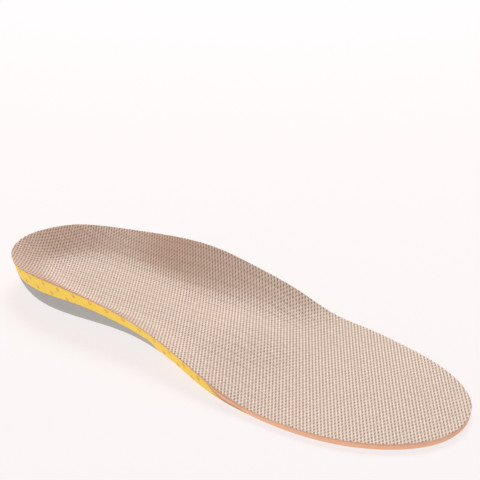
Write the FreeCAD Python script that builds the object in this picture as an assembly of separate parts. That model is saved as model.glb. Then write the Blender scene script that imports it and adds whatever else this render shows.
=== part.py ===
import FreeCAD, Part
import math, os
from FreeCAD import Vector as V

# Cushioned, arch-supporting insole for the right foot.
# Frame: +X heel to toe, +Y medial (arch) side, +Z up, millimetres.
# Origin: middle of the footprint's box, on the plane that the insole rests on.

os.makedirs("parts", exist_ok=True)

# ---------------------------------------------------------------- driving dimensions
LENGTH = 260.0          # overall length, heel rim to toe edge
COVER_T = 0.6           # knitted top cover
FOAM_T_REAR = 1.2       # foam base behind the flex line
FOAM_EDGE = 0.55        # foam base where it thins out at the rearfoot's rim
FOAM_EDGE_W = 8.0       # width of that thinning
CUSHION_EDGE = 0.8      # perforated cushion at its thin front edge
GLUE = 0.1              # bond line between laminated layers
SHELL_T_FRONT = 1.5     # support shell in its front lobe
SHELL_T_HEEL = 3.4      # support shell under the heel
SHELL_WALL = 2.6        # support shell's upturned wall, measured level
FOREFOOT_T = 3.5        # total thickness of the forefoot
PAD_RECESS = 2.4        # depth of the recess for the heel pad
PAD_BASE = 1.1          # web of the heel pad
PAD_CLEAR = 0.3         # gap round the heel pad
NUB_A = (-4.6, 3.1)      # steps of the nubs' rows
NUB_B = (-1.8, -6.0)
NUB_D = 4.6
NUB_H = 1.2
SLOT_W = 3.3            # slots in the shell
GROOVE_W = 1.8          # blind groove beside the window
GROOVE_DEEP = 0.7
FLEX_GAP = 0.2          # between the split faces at the flex line
# flex line, seen from above: where the forefoot bends
FLEX_MED = (210.0, 40.4)
FLEX_LAT = (175.5, -50.0)
FLEX_Z = 4.3            # height of the bending axis
HINGE_RANGE = 45.0

# ---------------------------------------------------------------- the form, as tables
# rim of the insole: x, y, z, inset of the flat bottom, bottom rounding, shell's top edge on the wall,
# width of the bowl's side
RIM = [
    (-0.2, 0.0, 19.6, 23.0, 13.5, 9.2, 29.0),
    (3.5, 12.0, 19.7, 24.0, 14.0, 9.0, 29.0),
    (11.1, 23.6, 19.6, 23.5, 13.5, 9.0, 29.0),
    (24.6, 33.9, 18.6, 20.5, 11.5, 9.3, 29.0),
    (46.0, 40.3, 19.2, 16.0, 8.6, 10.0, 30.0),
    (74.0, 40.3, 23.2, 12.2, 5.5, 11.6, 31.0),
    (100.5, 38.3, 25.1, 12.5, 7.2, 12.0, 32.0),
    (125.5, 38.0, 21.6, 9.0, 5.4, 10.4, 32.0),
    (149.0, 40.7, 14.3, 4.6, 2.7, 6.6, 31.0),
    (169.0, 43.3, 6.1, 1.6, 0.8, 2.6, 28.0),
    (187.5, 43.6, 4.2, 0.9, 0.5, 1.0, 24.0),
    (207.0, 41.0, 3.6, 0.7, 0.4, 0.0, 20.0),
    (227.0, 35.8, 3.5, 0.7, 0.4, 0.0, 20.0),
    (244.5, 26.6, 3.5, 0.7, 0.4, 0.0, 20.0),
    (255.8, 14.2, 3.5, 0.7, 0.4, 0.0, 20.0),
    (259.8, 1.0, 3.5, 0.7, 0.4, 0.0, 20.0),
    (258.9, -10.4, 3.5, 0.7, 0.4, 0.0, 20.0),
    (253.9, -21.8, 3.5, 0.7, 0.4, 0.0, 20.0),
    (242.8, -33.5, 3.5, 0.7, 0.4, 0.0, 20.0),
    (224.2, -44.2, 3.5, 0.8, 0.4, 0.0, 20.0),
    (201.0, -49.8, 3.6, 1.0, 0.5, 0.0, 20.0),
    (175.0, -50.4, 4.2, 2.0, 1.0, 0.5, 20.0),
    (149.0, -47.2, 8.8, 5.0, 3.0, 1.0, 20.0),
    (121.5, -41.2, 14.0, 12.7, 7.6, 7.0, 21.0),
    (92.7, -37.5, 18.1, 17.0, 10.2, 10.3, 22.0),
    (64.0, -37.5, 21.0, 14.2, 8.5, 12.8, 24.0),
    (39.0, -36.2, 21.2, 11.5, 7.2, 11.3, 27.0),
    (17.8, -30.5, 19.9, 14.5, 9.0, 10.9, 29.0),
    (4.3, -18.1, 19.6, 19.0, 13.0, 9.9, 29.0),
]
# height of the top surface along the middle
FLOOR = [(-20, 7.8), (10, 7.7), (35, 7.5), (60, 7.4), (85, 7.8), (110, 8.6), (130, 8.4), (150, 6.9),
         (168, 5.2), (182, 4.1), (196, 3.62), (212, 3.5), (240, 3.5), (290, 3.5)]
DOME = (146.0, -4.0, 27.0, 21.0, 3.2)      # metatarsal dome: x, y, half length, half width, height
DISH = (146.0, -3.0, 33.0, 28.0, 2.3)      # hollow of the shell below the dome
LIFT = (116.0, 46.0, 46.0, 34.0, 8.4)      # hollow of the underside below the arch
# front lobe of the support shell, seen from above
LOBE = [(150.0, 60.0), (150.5, 44.0), (151.5, 36.4), (155.9, 32.7), (160.4, 28.4), (165.9, 22.9), (171.5, 16.6),
        (176.0, 10.2), (178.9, 3.8), (180.0, -2.4), (179.4, -8.5), (176.7, -14.8), (172.7, -20.6), (167.2, -26.0),
        (160.4, -30.8), (153.3, -34.2), (146.6, -35.9), (139.8, -36.2), (132.3, -34.8), (124.5, -33.4),
        (119.5, -33.8), (116.6, -36.6), (114.8, -41.0), (113.0, -48.0), (111.0, -60.0)]
OVAL = [(152.4, 17.4), (151.5, 20.6), (148.6, 23.3), (143.1, 25.4), (135.9, 26.4), (128.3, 26.3), (120.6, 25.1),
        (114.9, 22.8), (111.6, 19.8), (111.2, 16.5), (113.6, 13.4), (118.9, 11.1), (125.9, 9.9), (133.3, 9.6),
        (141.1, 10.3), (147.0, 12.0), (150.9, 14.4)]
SLOTS = [
    [(143.4, 2.6), (143.4, -3.1), (143.0, -10.2), (142.0, -17.2), (140.6, -23.0), (139.3, -27.0)],
    [(137.2, 2.2), (136.5, -5.0), (135.2, -12.0), (133.2, -18.6), (131.0, -23.5), (128.8, -27.0)],
    [(131.0, 2.0), (130.1, -4.7), (128.4, -11.0), (125.8, -17.2), (122.6, -22.7), (119.4, -26.4)],
    [(124.8, 2.3), (123.2, -4.2), (121.1, -10.4), (118.2, -16.6), (114.8, -22.0), (111.6, -25.8)],
    [(118.8, 3.4), (116.6, -3.0), (113.7, -9.4), (110.4, -15.8), (107.0, -21.2), (103.8, -25.2)],
    [(113.2, 5.0), (110.5, -1.6), (107.2, -8.4), (103.6, -14.6), (99.8, -20.2), (96.8, -24.6)],
]
HOLES = [(134.4, -31.4), (123.8, -29.2)]
GROOVE = [(142.0, 28.6), (134.0, 29.6), (126.0, 30.0), (118.0, 29.6), (111.5, 28.4)]
PAD = [(89.0, 14.6), (82.2, 17.0), (73.8, 17.8), (65.3, 18.0), (57.0, 17.8), (49.6, 16.2), (43.2, 13.6), (37.0, 9.4),
       (31.8, 4.8), (28.6, -0.4), (27.4, -6.0), (28.8, -12.4), (32.0, -17.6), (37.0, -21.2), (44.0, -22.4),
       (53.8, -22.6), (64.4, -22.6), (73.6, -22.2), (81.6, -20.2), (88.2, -16.8), (93.6, -12.6), (97.4, -6.8),
       (98.6, -0.6), (98.0, 6.2), (94.8, 11.2)]


# ---------------------------------------------------------------- small maths
def solve(a, b):
    n = len(b)
    m = [list(r) + [b[i]] for i, r in enumerate(a)]
    for i in range(n):
        p = max(range(i, n), key=lambda k: abs(m[k][i]))
        m[i], m[p] = m[p], m[i]
        for k in range(i + 1, n):
            f = m[k][i] / m[i][i]
            if f:
                for j in range(i, n + 1):
                    m[k][j] -= f * m[i][j]
    x = [0.0] * n
    for i in range(n - 1, -1, -1):
        x[i] = (m[i][n] - sum(m[i][j] * x[j] for j in range(i + 1, n))) / m[i][i]
    return x


class Loop:
    """Closed smooth curve through points of any dimension, by chord length."""

    def __init__(self, pts):
        n = len(pts)
        self.n, self.p = n, pts
        self.s = [0.0]
        for i in range(n):
            a, b = pts[i], pts[(i + 1) % n]
            self.s.append(self.s[-1] + math.hypot(a[0] - b[0], a[1] - b[1]))
        self.total = self.s[-1]
        h = [self.s[i + 1] - self.s[i] for i in range(n)]
        self.h = h
        mat = [[0.0] * n for _ in range(n)]
        for i in range(n):
            mat[i][(i - 1) % n] += h[i - 1]
            mat[i][i] += 2 * (h[i - 1] + h[i])
            mat[i][(i + 1) % n] += h[i]
        self.m = []
        for k in range(len(pts[0])):
            y = [q[k] for q in pts]
            r = [6 * ((y[(i + 1) % n] - y[i]) / h[i] - (y[i] - y[i - 1]) / h[i - 1]) for i in range(n)]
            self.m.append(solve(mat, r))

    def at(self, t):
        u = (t % 1.0) * self.total
        i = 0
        while i < self.n - 1 and u > self.s[i + 1]:
            i += 1
        a, b, h, j = self.s[i + 1] - u, u - self.s[i], self.h[i], (i + 1) % self.n
        return [self.m[k][i] * a ** 3 / (6 * h) + self.m[k][j] * b ** 3 / (6 * h)
                + (self.p[i][k] / h - self.m[k][i] * h / 6) * a
                + (self.p[j][k] / h - self.m[k][j] * h / 6) * b for k in range(len(self.p[0]))]


def pchip(tab, x):
    n = len(tab)
    if x <= tab[0][0]:
        return tab[0][1]
    if x >= tab[-1][0]:
        return tab[-1][1]
    d = [(tab[i + 1][1] - tab[i][1]) / (tab[i + 1][0] - tab[i][0]) for i in range(n - 1)]

    def slope(i):
        if i == 0:
            return d[0]
        if i == n - 1:
            return d[-1]
        return 0.5 * (d[i - 1] + d[i]) if d[i - 1] * d[i] > 0 else 0.0

    i = 0
    while x > tab[i + 1][0]:
        i += 1
    h = tab[i + 1][0] - tab[i][0]
    u = (x - tab[i][0]) / h
    return ((1 + 2 * u) * (1 - u) ** 2 * tab[i][1] + u * (1 - u) ** 2 * h * slope(i)
            + u * u * (3 - 2 * u) * tab[i + 1][1] + u * u * (u - 1) * h * slope(i + 1))


def smooth(a, b, x):
    u = min(1.0, max(0.0, (x - a) / (b - a)))
    return u * u * (3 - 2 * u)


def bump(x, y, c):
    r2 = ((x - c[0]) / c[2]) ** 2 + ((y - c[1]) / c[3]) ** 2
    return c[4] * math.exp(-1.35 * r2 ** 1.25)


# ---------------------------------------------------------------- fields over the footprint
rim = Loop(RIM)
N = 360
RIMS = [rim.at(i / N) for i in range(N)]


def spine_x(x):
    a, b, k = 38.0, 212.0, 9.0
    lo = a + k * math.log1p(math.exp((x - a) / k)) if (x - a) / k < 30 else x
    return b - k * math.log1p(math.exp((b - lo) / k)) if (b - lo) / k < 30 else lo


def spine_y(x):
    return 2.0 - 6.3 * smooth(50, 190, x)


SPINE = [(spine_x(r[0]), spine_y(spine_x(r[0]))) for r in RIMS]


LOST = []


def ring(x, y):
    """Rim sample facing the point, and the point's distance in from the rim."""
    best = None
    for i in range(N):
        j = (i + 1) % N
        s0, s1, r0, r1 = SPINE[i], SPINE[j], RIMS[i], RIMS[j]
        c0 = (r0[0] - s0[0]) * (y - s0[1]) - (r0[1] - s0[1]) * (x - s0[0])
        c1 = (r1[0] - s1[0]) * (y - s1[1]) - (r1[1] - s1[1]) * (x - s1[0])
        if c0 < 0 <= c1:
            d = (r0[0] - s0[0]) * (x - s0[0]) + (r0[1] - s0[1]) * (y - s0[1])
            if d > -1e-6:
                f = c0 / (c0 - c1)
                r = [p + (q - p) * f for p, q in zip(r0, r1)]
                sx, sy = s0[0] + (s1[0] - s0[0]) * f, s0[1] + (s1[1] - s0[1]) * f
                reach = math.hypot(r[0] - sx, r[1] - sy)
                rho = reach - math.hypot(x - sx, y - sy)
                if best is None or abs(rho) < abs(best[1]):
                    best = (r, rho)
    if best is None:
        k = min(range(N), key=lambda i: math.hypot(RIMS[i][0] - x, RIMS[i][1] - y))
        sign = 1 if 30 < x < 225 and abs(y) < 15 else -1      # on the middle line itself, or far outside
        best = (RIMS[k], sign * math.hypot(RIMS[k][0] - x, RIMS[k][1] - y))
        LOST.append((x, y))
    return best


def bowl(u):
    """Bowl's side: a straight slope from the rim with a rounded foot; 1 at the rim, 0 at the bowl's floor."""
    if u >= 1:
        return 0.0

    def sp(v):
        return 0.10 * math.log1p(math.exp((0.66 - v) / 0.10))

    return (sp(u) - sp(1.0)) / (sp(0.0) - sp(1.0))


def top_z(x, y, rr=None):
    r, rho = rr or ring(x, y)
    fl = pchip(FLOOR, x)
    u = max(-0.9, rho / r[6])
    return fl + (r[2] - fl) * bowl(u) + bump(x, y, DOME)


def lift_z(x, y):
    return bump(x, y, LIFT) - 0.6


def dish_z(x, y):
    return bump(x, y, DISH) - 0.25


def under_z(x, y):
    return max(0.0, lift_z(x, y), dish_z(x, y))


def wall_inset(r, z):
    corner = r[3] - r[4]
    return corner * (r[2] - z) / max(0.5, r[2])


def shell_z(x, y, rr=None):
    r, rho = rr or ring(x, y)
    th = SHELL_T_FRONT + (SHELL_T_HEEL - SHELL_T_FRONT) * smooth(118, 92, x) if x < 118 else SHELL_T_FRONT
    low = under_z(x, y) + th
    high = max(low, r[5])
    a = wall_inset(r, r[5]) + SHELL_WALL
    return low + (high - low) * smooth(a + 7.0, a, rho)


def foam_t(x, rr):
    full = FOAM_T_REAR + (FOREFOOT_T - 2 * GLUE - COVER_T - CUSHION_EDGE - FOAM_T_REAR) * smooth(110, 178, x)
    edge = FOAM_EDGE + (full - FOAM_EDGE) * smooth(158, 180, x)
    return edge + (full - edge) * smooth(0, FOAM_EDGE_W, rr[1])


# ---------------------------------------------------------------- solids
X0, X1, Y0, Y1 = -14.0, 274.0, -64.0, 56.0
NX, NY = 73, 33
GX = [X0 + (X1 - X0) * i / (NX - 1) for i in range(NX)]
GY = [Y0 + (Y1 - Y0) * j / (NY - 1) for j in range(NY)]
RR = [[ring(x, y) for y in GY] for x in GX]


def below(fn, dz=0.0, depth=80.0):
    """Solid of everything under a height field."""
    pts = [[V(GX[i], GY[j], fn(GX[i], GY[j], RR[i][j]) + dz) for j in range(NY)] for i in range(NX)]
    s = Part.BSplineSurface()
    s.interpolate(pts)
    return s.toShape().extrude(V(0, 0, -depth))


def wire(points, closed=True):
    c = Part.BSplineCurve()
    if closed:
        c.interpolate(Points=[V(*p) for p in points], PeriodicFlag=True)
    else:
        c.interpolate(Points=[V(*p) for p in points])
    return Part.Wire([c.toShape()])


def prism(points, z0, z1):
    w = wire([(p[0], p[1], z0) for p in points])
    return Part.Face(w).extrude(V(0, 0, z1 - z0))


def poly(points, z0, z1):
    pts = [V(p[0], p[1], z0) for p in points]
    return Part.Face(Part.makePolygon(pts + [pts[0]])).extrude(V(0, 0, z1 - z0))


def stadium(points, width, z0, z1):
    """Slot that follows a centre line."""
    h = width / 2.0
    left, right = [], []
    n = len(points)
    for i, p in enumerate(points):
        a, b = points[max(0, i - 1)], points[min(n - 1, i + 1)]
        d = math.hypot(b[0] - a[0], b[1] - a[1])
        nx, ny = -(b[1] - a[1]) / d, (b[0] - a[0]) / d
        left.append((p[0] + nx * h, p[1] + ny * h))
        right.append((p[0] - nx * h, p[1] - ny * h))
    out = poly(left + right[::-1], z0, z1)
    for p in (points[0], points[-1]):
        out = out.fuse(Part.makeCylinder(h, z1 - z0, V(p[0], p[1], z0)))
    return out.removeSplitter()


def normal(i):
    a, b = RIMS[(i - 2) % N], RIMS[(i + 2) % N]
    d = math.hypot(b[0] - a[0], b[1] - a[1])
    return (b[1] - a[1]) / d * SIDE, -(b[0] - a[0]) / d * SIDE      # points inwards


AREA = sum(RIMS[i][0] * RIMS[(i + 1) % N][1] - RIMS[(i + 1) % N][0] * RIMS[i][1] for i in range(N))
SIDE = 1.0 if AREA < 0 else -1.0


def section(r, k):
    """Inset and height on the outer wall: k 0 at the flat bottom, 1 where the rounding ends, 2 at the rim, 3 above it."""
    corner = r[3] - r[4]
    if k <= 1:
        slope = math.hypot(corner, r[2])
        e = (corner - corner * r[4] / slope, r[2] * r[4] / slope)
        a, b = (r[3], 0.0), (corner, 0.0)
        return ((1 - k) ** 2 * a[0] + 2 * k * (1 - k) * b[0] + k * k * e[0],
                (1 - k) ** 2 * a[1] + 2 * k * (1 - k) * b[1] + k * k * e[1])
    e = section(r, 1)
    if k == 3:                                  # the wall's line carried on, 5 mm above the rim
        k = 1 + (r[2] + 5.0 - e[1]) / (r[2] - e[1])
    return e[0] * (2 - k), e[1] + (r[2] - e[1]) * (k - 1)


def ring_row(k, z=None):
    row = []
    for i in range(0, N, 3):
        r = RIMS[i]
        n = normal(i)
        d, h = section(r, k)
        x, y = r[0] + n[0] * d, r[1] + n[1] * d
        row.append((x, y, h if z is None else z))
    return row


rows = [ring_row(0, -8.0), ring_row(0), ring_row(0.35), ring_row(0.7), ring_row(1), ring_row(3), ring_row(3, 60.0)]
form = Part.makeLoft([wire(r) for r in rows], True, True)
form = form.common(Part.makeBox(400, 200, 80, V(-60, -100, 0)))
form = form.cut(below(lambda x, y, rr: lift_z(x, y)))
form = form.cut(below(lambda x, y, rr: dish_z(x, y)))

under_top = below(top_z)
under_cover = below(top_z, -COVER_T)
under_cover_glue = below(top_z, -COVER_T - GLUE)
under_foam = below(lambda x, y, rr: top_z(x, y, rr) - COVER_T - GLUE - foam_t(x, rr))
under_foam_glue = below(lambda x, y, rr: top_z(x, y, rr) - COVER_T - 2 * GLUE - foam_t(x, rr))
under_shell = below(shell_z)
under_shell_glue = below(shell_z, GLUE)

# the flex line cuts the insole into rearfoot and forefoot
fx, fy = FLEX_MED[0] - FLEX_LAT[0], FLEX_MED[1] - FLEX_LAT[1]
fl = math.hypot(fx, fy)
ax = (fx / fl, fy / fl)                      # along the line, to the medial side
nx, ny = ax[1], -ax[0]                       # towards the toe
mid = ((FLEX_MED[0] + FLEX_LAT[0]) / 2, (FLEX_MED[1] + FLEX_LAT[1]) / 2)


def half(sign):
    g = FLEX_GAP / 2
    p = [(mid[0] + nx * sign * g + ax[0] * 200, mid[1] + ny * sign * g + ax[1] * 200),
         (mid[0] + nx * sign * g - ax[0] * 200, mid[1] + ny * sign * g - ax[1] * 200)]
    q = [(p[1][0] + nx * sign * 300, p[1][1] + ny * sign * 300), (p[0][0] + nx * sign * 300, p[0][1] + ny * sign * 300)]
    return poly(p + q, -30, 90)


rear, front = half(-1), half(1)

whole = form.common(under_top)
cover = whole.cut(under_cover)
core = form.common(under_cover_glue)
foam_rear = core.cut(under_foam).common(rear)
foam_front = core.common(front)
cover_rear = cover.common(rear)
cover_front = cover.common(front)

# support shell
lobe = poly([p for p in LOBE] + [(-60, -100), (-60, 100), (150.0, 100)], -30, 90)


def grow(points, d):
    c = Part.BSplineCurve()
    out = []
    n = len(points)
    for i, p in enumerate(points):
        a, b = points[max(0, i - 1)], points[min(n - 1, i + 1)]
        m = math.hypot(b[0] - a[0], b[1] - a[1])
        out.append((p[0] - (b[1] - a[1]) / m * d, p[1] + (b[0] - a[0]) / m * d))
    return out


lobe_out = poly(grow(LOBE, 0.12) + [(-60, -100), (-60, 100), (150.12, 100)], -30, 90)
shell = form.common(under_shell).common(lobe)
cushion = form.common(under_foam_glue).common(rear).cut(under_shell_glue.common(lobe_out))
for s in SLOTS:
    shell = shell.cut(stadium(s, SLOT_W, -5, 30))
shell = shell.cut(prism(OVAL, -5, 30))
for h in HOLES:
    shell = shell.cut(Part.makeCylinder(1.3, 30, V(h[0], h[1], -5)))
shell = shell.cut(stadium(GROOVE, GROOVE_W, -5, 30).common(below(lambda x, y, rr: lift_z(x, y) + GROOVE_DEEP)))
pad_recess = prism(PAD, -5, PAD_RECESS)
shell = shell.cut(pad_recess)


def inset_pts(points, d):
    n = len(points)
    ar = sum(points[i][0] * points[(i + 1) % n][1] - points[(i + 1) % n][0] * points[i][1] for i in range(n))
    sg = 1.0 if ar < 0 else -1.0
    out = []
    for i, p in enumerate(points):
        a, b = points[i - 1], points[(i + 1) % n]
        m = math.hypot(b[0] - a[0], b[1] - a[1])
        out.append((p[0] + (b[1] - a[1]) / m * d * sg, p[1] - (b[0] - a[0]) / m * d * sg))
    return out


pad_out = inset_pts(PAD, PAD_CLEAR)
pad = prism(pad_out, PAD_RECESS - GLUE - PAD_BASE, PAD_RECESS - GLUE)
keep = Loop([(p[0], p[1]) for p in inset_pts(PAD, 2.75)])
edge = [keep.at(i / 90.0) for i in range(90)]


def inside(x, y):
    hit = False
    for i in range(len(edge)):
        (xa, ya), (xb, yb) = edge[i], edge[i - 1]
        if (ya > y) != (yb > y) and x < (xb - xa) * (y - ya) / (yb - ya) + xa:
            hit = not hit
    return hit


nubs = []
for j in range(-10, 11):
    for i in range(-12, 13):
        x = 63.0 + NUB_A[0] * i + NUB_B[0] * j
        y = -2.5 + NUB_A[1] * i + NUB_B[1] * j
        if inside(x, y):
            z1 = PAD_RECESS - GLUE - PAD_BASE
            nubs.append(Part.makeCone(NUB_D / 2 - 0.4, NUB_D / 2, NUB_H - 0.1, V(x, y, z1 - NUB_H + 0.1)))
pad = pad.fuse(nubs)


def biggest(s):
    best = max(s.Solids, key=lambda q: q.Volume)
    return best


# origin to the middle of the box
def tight(s):
    b = FreeCAD.BoundBox()
    for p in s.tessellate(0.02)[0]:
        b.add(p)
    return b


box = tight(whole)
shift = V(-(box.XMin + box.XMax) / 2, -(box.YMin + box.YMax) / 2, 0)
print("whole", [round(v, 2) for v in (box.XMin, box.XMax, box.YMin, box.YMax, box.ZMin, box.ZMax)], "shift", shift)

NODES = {
    "top_cover_rearfoot": cover_rear,
    "top_cover_forefoot": cover_front,
    "foam_base_rearfoot": foam_rear,
    "foam_base_forefoot": foam_front,
    "perforated_cushion": cushion,
    "arch_shell": shell,
    "heel_gel_pad": pad,
}
for name, s in NODES.items():
    b = biggest(s)
    rest = sum(q.Volume for q in s.Solids) - b.Volume
    out = Part.Solid(b) if b.ShapeType != "Solid" else b
    out = out.copy()
    out.translate(shift)
    bb = tight(out)
    print("%-22s valid %s solids %d vol %.0f (rest %.2f) box %s" % (
        name, out.isValid(), len(s.Solids), out.Volume, rest,
        [round(v, 2) for v in (bb.XMin, bb.XMax, bb.YMin, bb.YMax, bb.ZMin, bb.ZMax)]))
    out.exportStep("parts/%s.step" % name)
print("flex axis point", round(mid[0] + shift.x, 3), round(mid[1] + shift.y, 3), FLEX_Z, "dir", round(ax[0], 5), round(ax[1], 5))
print("nubs", len(nubs), "unmatched grid points", len(LOST))
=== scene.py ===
import math
import bpy
import numpy as np
from mathutils import Matrix, Vector
from mathutils.geometry import delaunay_2d_cdt
from mathutils.kdtree import KDTree


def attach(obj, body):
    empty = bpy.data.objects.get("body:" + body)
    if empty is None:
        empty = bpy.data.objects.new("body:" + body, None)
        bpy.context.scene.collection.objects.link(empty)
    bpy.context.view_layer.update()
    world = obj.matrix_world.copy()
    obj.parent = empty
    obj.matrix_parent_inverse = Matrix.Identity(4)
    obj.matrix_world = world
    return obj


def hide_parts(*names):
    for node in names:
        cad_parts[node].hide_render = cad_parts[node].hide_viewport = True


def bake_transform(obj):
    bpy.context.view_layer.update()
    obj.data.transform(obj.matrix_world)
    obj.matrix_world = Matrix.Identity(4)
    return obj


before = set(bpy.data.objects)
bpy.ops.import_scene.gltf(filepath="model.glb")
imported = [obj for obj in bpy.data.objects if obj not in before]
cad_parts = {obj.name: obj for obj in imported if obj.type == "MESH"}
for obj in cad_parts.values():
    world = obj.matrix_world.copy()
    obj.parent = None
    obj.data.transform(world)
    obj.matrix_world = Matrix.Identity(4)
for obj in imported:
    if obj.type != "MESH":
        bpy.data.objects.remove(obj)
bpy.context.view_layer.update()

# Everything below is worked out in millimetres in the part's own coordinates (x from heel to toe, y to the medial
# side, z up from the ground), then moved by SHIFT into the row frame and scaled to metres.
SHIFT = np.array([-129.7872145, 3.4412532, 0.0])

# rim: x, y, z, inset of the flat bottom, bottom rounding, shell's top edge on the wall, width of the bowl's side
RIM = np.array([
    (-0.2, 0.0, 19.6, 23.0, 13.5, 9.2, 29.0), (3.5, 12.0, 19.7, 24.0, 14.0, 9.0, 29.0),
    (11.1, 23.6, 19.6, 23.5, 13.5, 9.0, 29.0), (24.6, 33.9, 18.6, 20.5, 11.5, 9.3, 29.0),
    (46.0, 40.3, 19.2, 16.0, 8.6, 10.0, 30.0), (74.0, 40.3, 23.2, 12.2, 5.5, 11.6, 31.0),
    (100.5, 38.3, 25.1, 12.5, 7.2, 12.0, 32.0), (125.5, 38.0, 21.6, 9.0, 5.4, 10.4, 32.0),
    (149.0, 40.7, 14.3, 4.6, 2.7, 6.6, 31.0), (169.0, 43.3, 6.1, 1.6, 0.8, 2.6, 28.0),
    (187.5, 43.6, 4.2, 0.9, 0.5, 1.0, 24.0), (207.0, 41.0, 3.6, 0.7, 0.4, 0.0, 20.0),
    (227.0, 35.8, 3.5, 0.7, 0.4, 0.0, 20.0), (244.5, 26.6, 3.5, 0.7, 0.4, 0.0, 20.0),
    (255.8, 14.2, 3.5, 0.7, 0.4, 0.0, 20.0), (259.8, 1.0, 3.5, 0.7, 0.4, 0.0, 20.0),
    (258.9, -10.4, 3.5, 0.7, 0.4, 0.0, 20.0), (253.9, -21.8, 3.5, 0.7, 0.4, 0.0, 20.0),
    (242.8, -33.5, 3.5, 0.7, 0.4, 0.0, 20.0), (224.2, -44.2, 3.5, 0.8, 0.4, 0.0, 20.0),
    (201.0, -49.8, 3.6, 1.0, 0.5, 0.0, 20.0), (175.0, -50.4, 4.2, 2.0, 1.0, 0.5, 20.0),
    (149.0, -47.2, 8.8, 5.0, 3.0, 1.0, 20.0), (121.5, -41.2, 14.0, 12.7, 7.6, 7.0, 21.0),
    (92.7, -37.5, 18.1, 17.0, 10.2, 10.3, 22.0), (64.0, -37.5, 21.0, 14.2, 8.5, 12.8, 24.0),
    (39.0, -36.2, 21.2, 11.5, 7.2, 11.3, 27.0), (17.8, -30.5, 19.9, 14.5, 9.0, 10.9, 29.0),
    (4.3, -18.1, 19.6, 19.0, 13.0, 9.9, 29.0)])
FLOOR = np.array([(-20, 7.8), (10, 7.7), (35, 7.5), (60, 7.4), (85, 7.8), (110, 8.6), (130, 8.4), (150, 6.9),
                  (168, 5.2), (182, 4.1), (196, 3.62), (212, 3.5), (240, 3.5), (290, 3.5)])
DOME = (146.0, -4.0, 27.0, 21.0, 3.2)
DISH = (146.0, -3.0, 33.0, 28.0, 2.3)
LIFT = (116.0, 46.0, 46.0, 34.0, 8.4)
LOBE = [(150.0, 60.0), (150.5, 44.0), (151.5, 36.4), (155.9, 32.7), (160.4, 28.4), (165.9, 22.9), (171.5, 16.6),
        (176.0, 10.2), (178.9, 3.8), (180.0, -2.4), (179.4, -8.5), (176.7, -14.8), (172.7, -20.6), (167.2, -26.0),
        (160.4, -30.8), (153.3, -34.2), (146.6, -35.9), (139.8, -36.2), (132.3, -34.8), (124.5, -33.4),
        (119.5, -33.8), (116.6, -36.6), (114.8, -41.0), (113.0, -48.0), (111.0, -60.0)]
OVAL = [(152.4, 17.4), (151.5, 20.6), (148.6, 23.3), (143.1, 25.4), (135.9, 26.4), (128.3, 26.3), (120.6, 25.1),
        (114.9, 22.8), (111.6, 19.8), (111.2, 16.5), (113.6, 13.4), (118.9, 11.1), (125.9, 9.9), (133.3, 9.6),
        (141.1, 10.3), (147.0, 12.0), (150.9, 14.4)]
SLOTS = [
    [(143.4, 2.6), (143.4, -3.1), (143.0, -10.2), (142.0, -17.2), (140.6, -23.0), (139.3, -27.0)],
    [(137.2, 2.2), (136.5, -5.0), (135.2, -12.0), (133.2, -18.6), (131.0, -23.5), (128.8, -27.0)],
    [(131.0, 2.0), (130.1, -4.7), (128.4, -11.0), (125.8, -17.2), (122.6, -22.7), (119.4, -26.4)],
    [(124.8, 2.3), (123.2, -4.2), (121.1, -10.4), (118.2, -16.6), (114.8, -22.0), (111.6, -25.8)],
    [(118.8, 3.4), (116.6, -3.0), (113.7, -9.4), (110.4, -15.8), (107.0, -21.2), (103.8, -25.2)],
    [(113.2, 5.0), (110.5, -1.6), (107.2, -8.4), (103.6, -14.6), (99.8, -20.2), (96.8, -24.6)]]
HOLES = [(134.4, -31.4), (123.8, -29.2)]
GROOVE = [(142.0, 28.6), (134.0, 29.6), (126.0, 30.0), (118.0, 29.6), (111.5, 28.4)]
STEP = [(145.4, -30), (146.1, -19.5), (147, -8.4), (147.6, -.5), (147.6, 4.0), (146.3, 6.0), (143.3, 6.9), (137.9, 6.5),
        (132.3, 5.9), (124.9, 6.3), (117.8, 7.7), (111.4, 11.0), (109.0, 15.1), (107.2, 18.8), (104.9, 24.4)]
MARKS = [(102.0, 24.2), (103.9, 16.8), (105.9, 10.5), (106.3, 3.1), (104.5, -6.1), (101.4, -13.4), (96.9, -20.3), (90.1, -25.6)]
PAD = [(89.0, 14.6), (82.2, 17.0), (73.8, 17.8), (65.3, 18.0), (57.0, 17.8), (49.6, 16.2), (43.2, 13.6), (37.0, 9.4),
       (31.8, 4.8), (28.6, -0.4), (27.4, -6.0), (28.8, -12.4), (32.0, -17.6), (37.0, -21.2), (44.0, -22.4),
       (53.8, -22.6), (64.4, -22.6), (73.6, -22.2), (81.6, -20.2), (88.2, -16.8), (93.6, -12.6), (97.4, -6.8),
       (98.6, -0.6), (98.0, 6.2), (94.8, 11.2)]
COVER_T, FOAM_T, SHELL_T_FRONT, SHELL_T_HEEL, SHELL_WALL = 0.6, 1.2, 1.5, 3.4, 2.6
PAD_RECESS, PAD_BASE, PAD_CLEAR, NUB_H = 2.4, 1.1, 0.3, 1.2
NUB_A, NUB_B, NUB_R = np.array([-4.6, 3.1]), np.array([-1.8, -6.0]), 2.3
FLEX_MED, FLEX_LAT, FLEX_Z = np.array([210.0, 40.4]), np.array([175.5, -50.0]), 4.3
AX = (FLEX_MED - FLEX_LAT) / np.linalg.norm(FLEX_MED - FLEX_LAT)
NO = np.array([AX[1], -AX[0]])                       # towards the toe
MID = (FLEX_MED + FLEX_LAT) / 2
FINE = 1.0                # mesh spacing factor


# ---------------------------------------------------------------- small maths
def smooth(a, b, x):
    u = np.clip((x - a) / (b - a), 0, 1)
    return u * u * (3 - 2 * u)


def mix(a, b, w):
    return a + (b - a) * w


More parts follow.
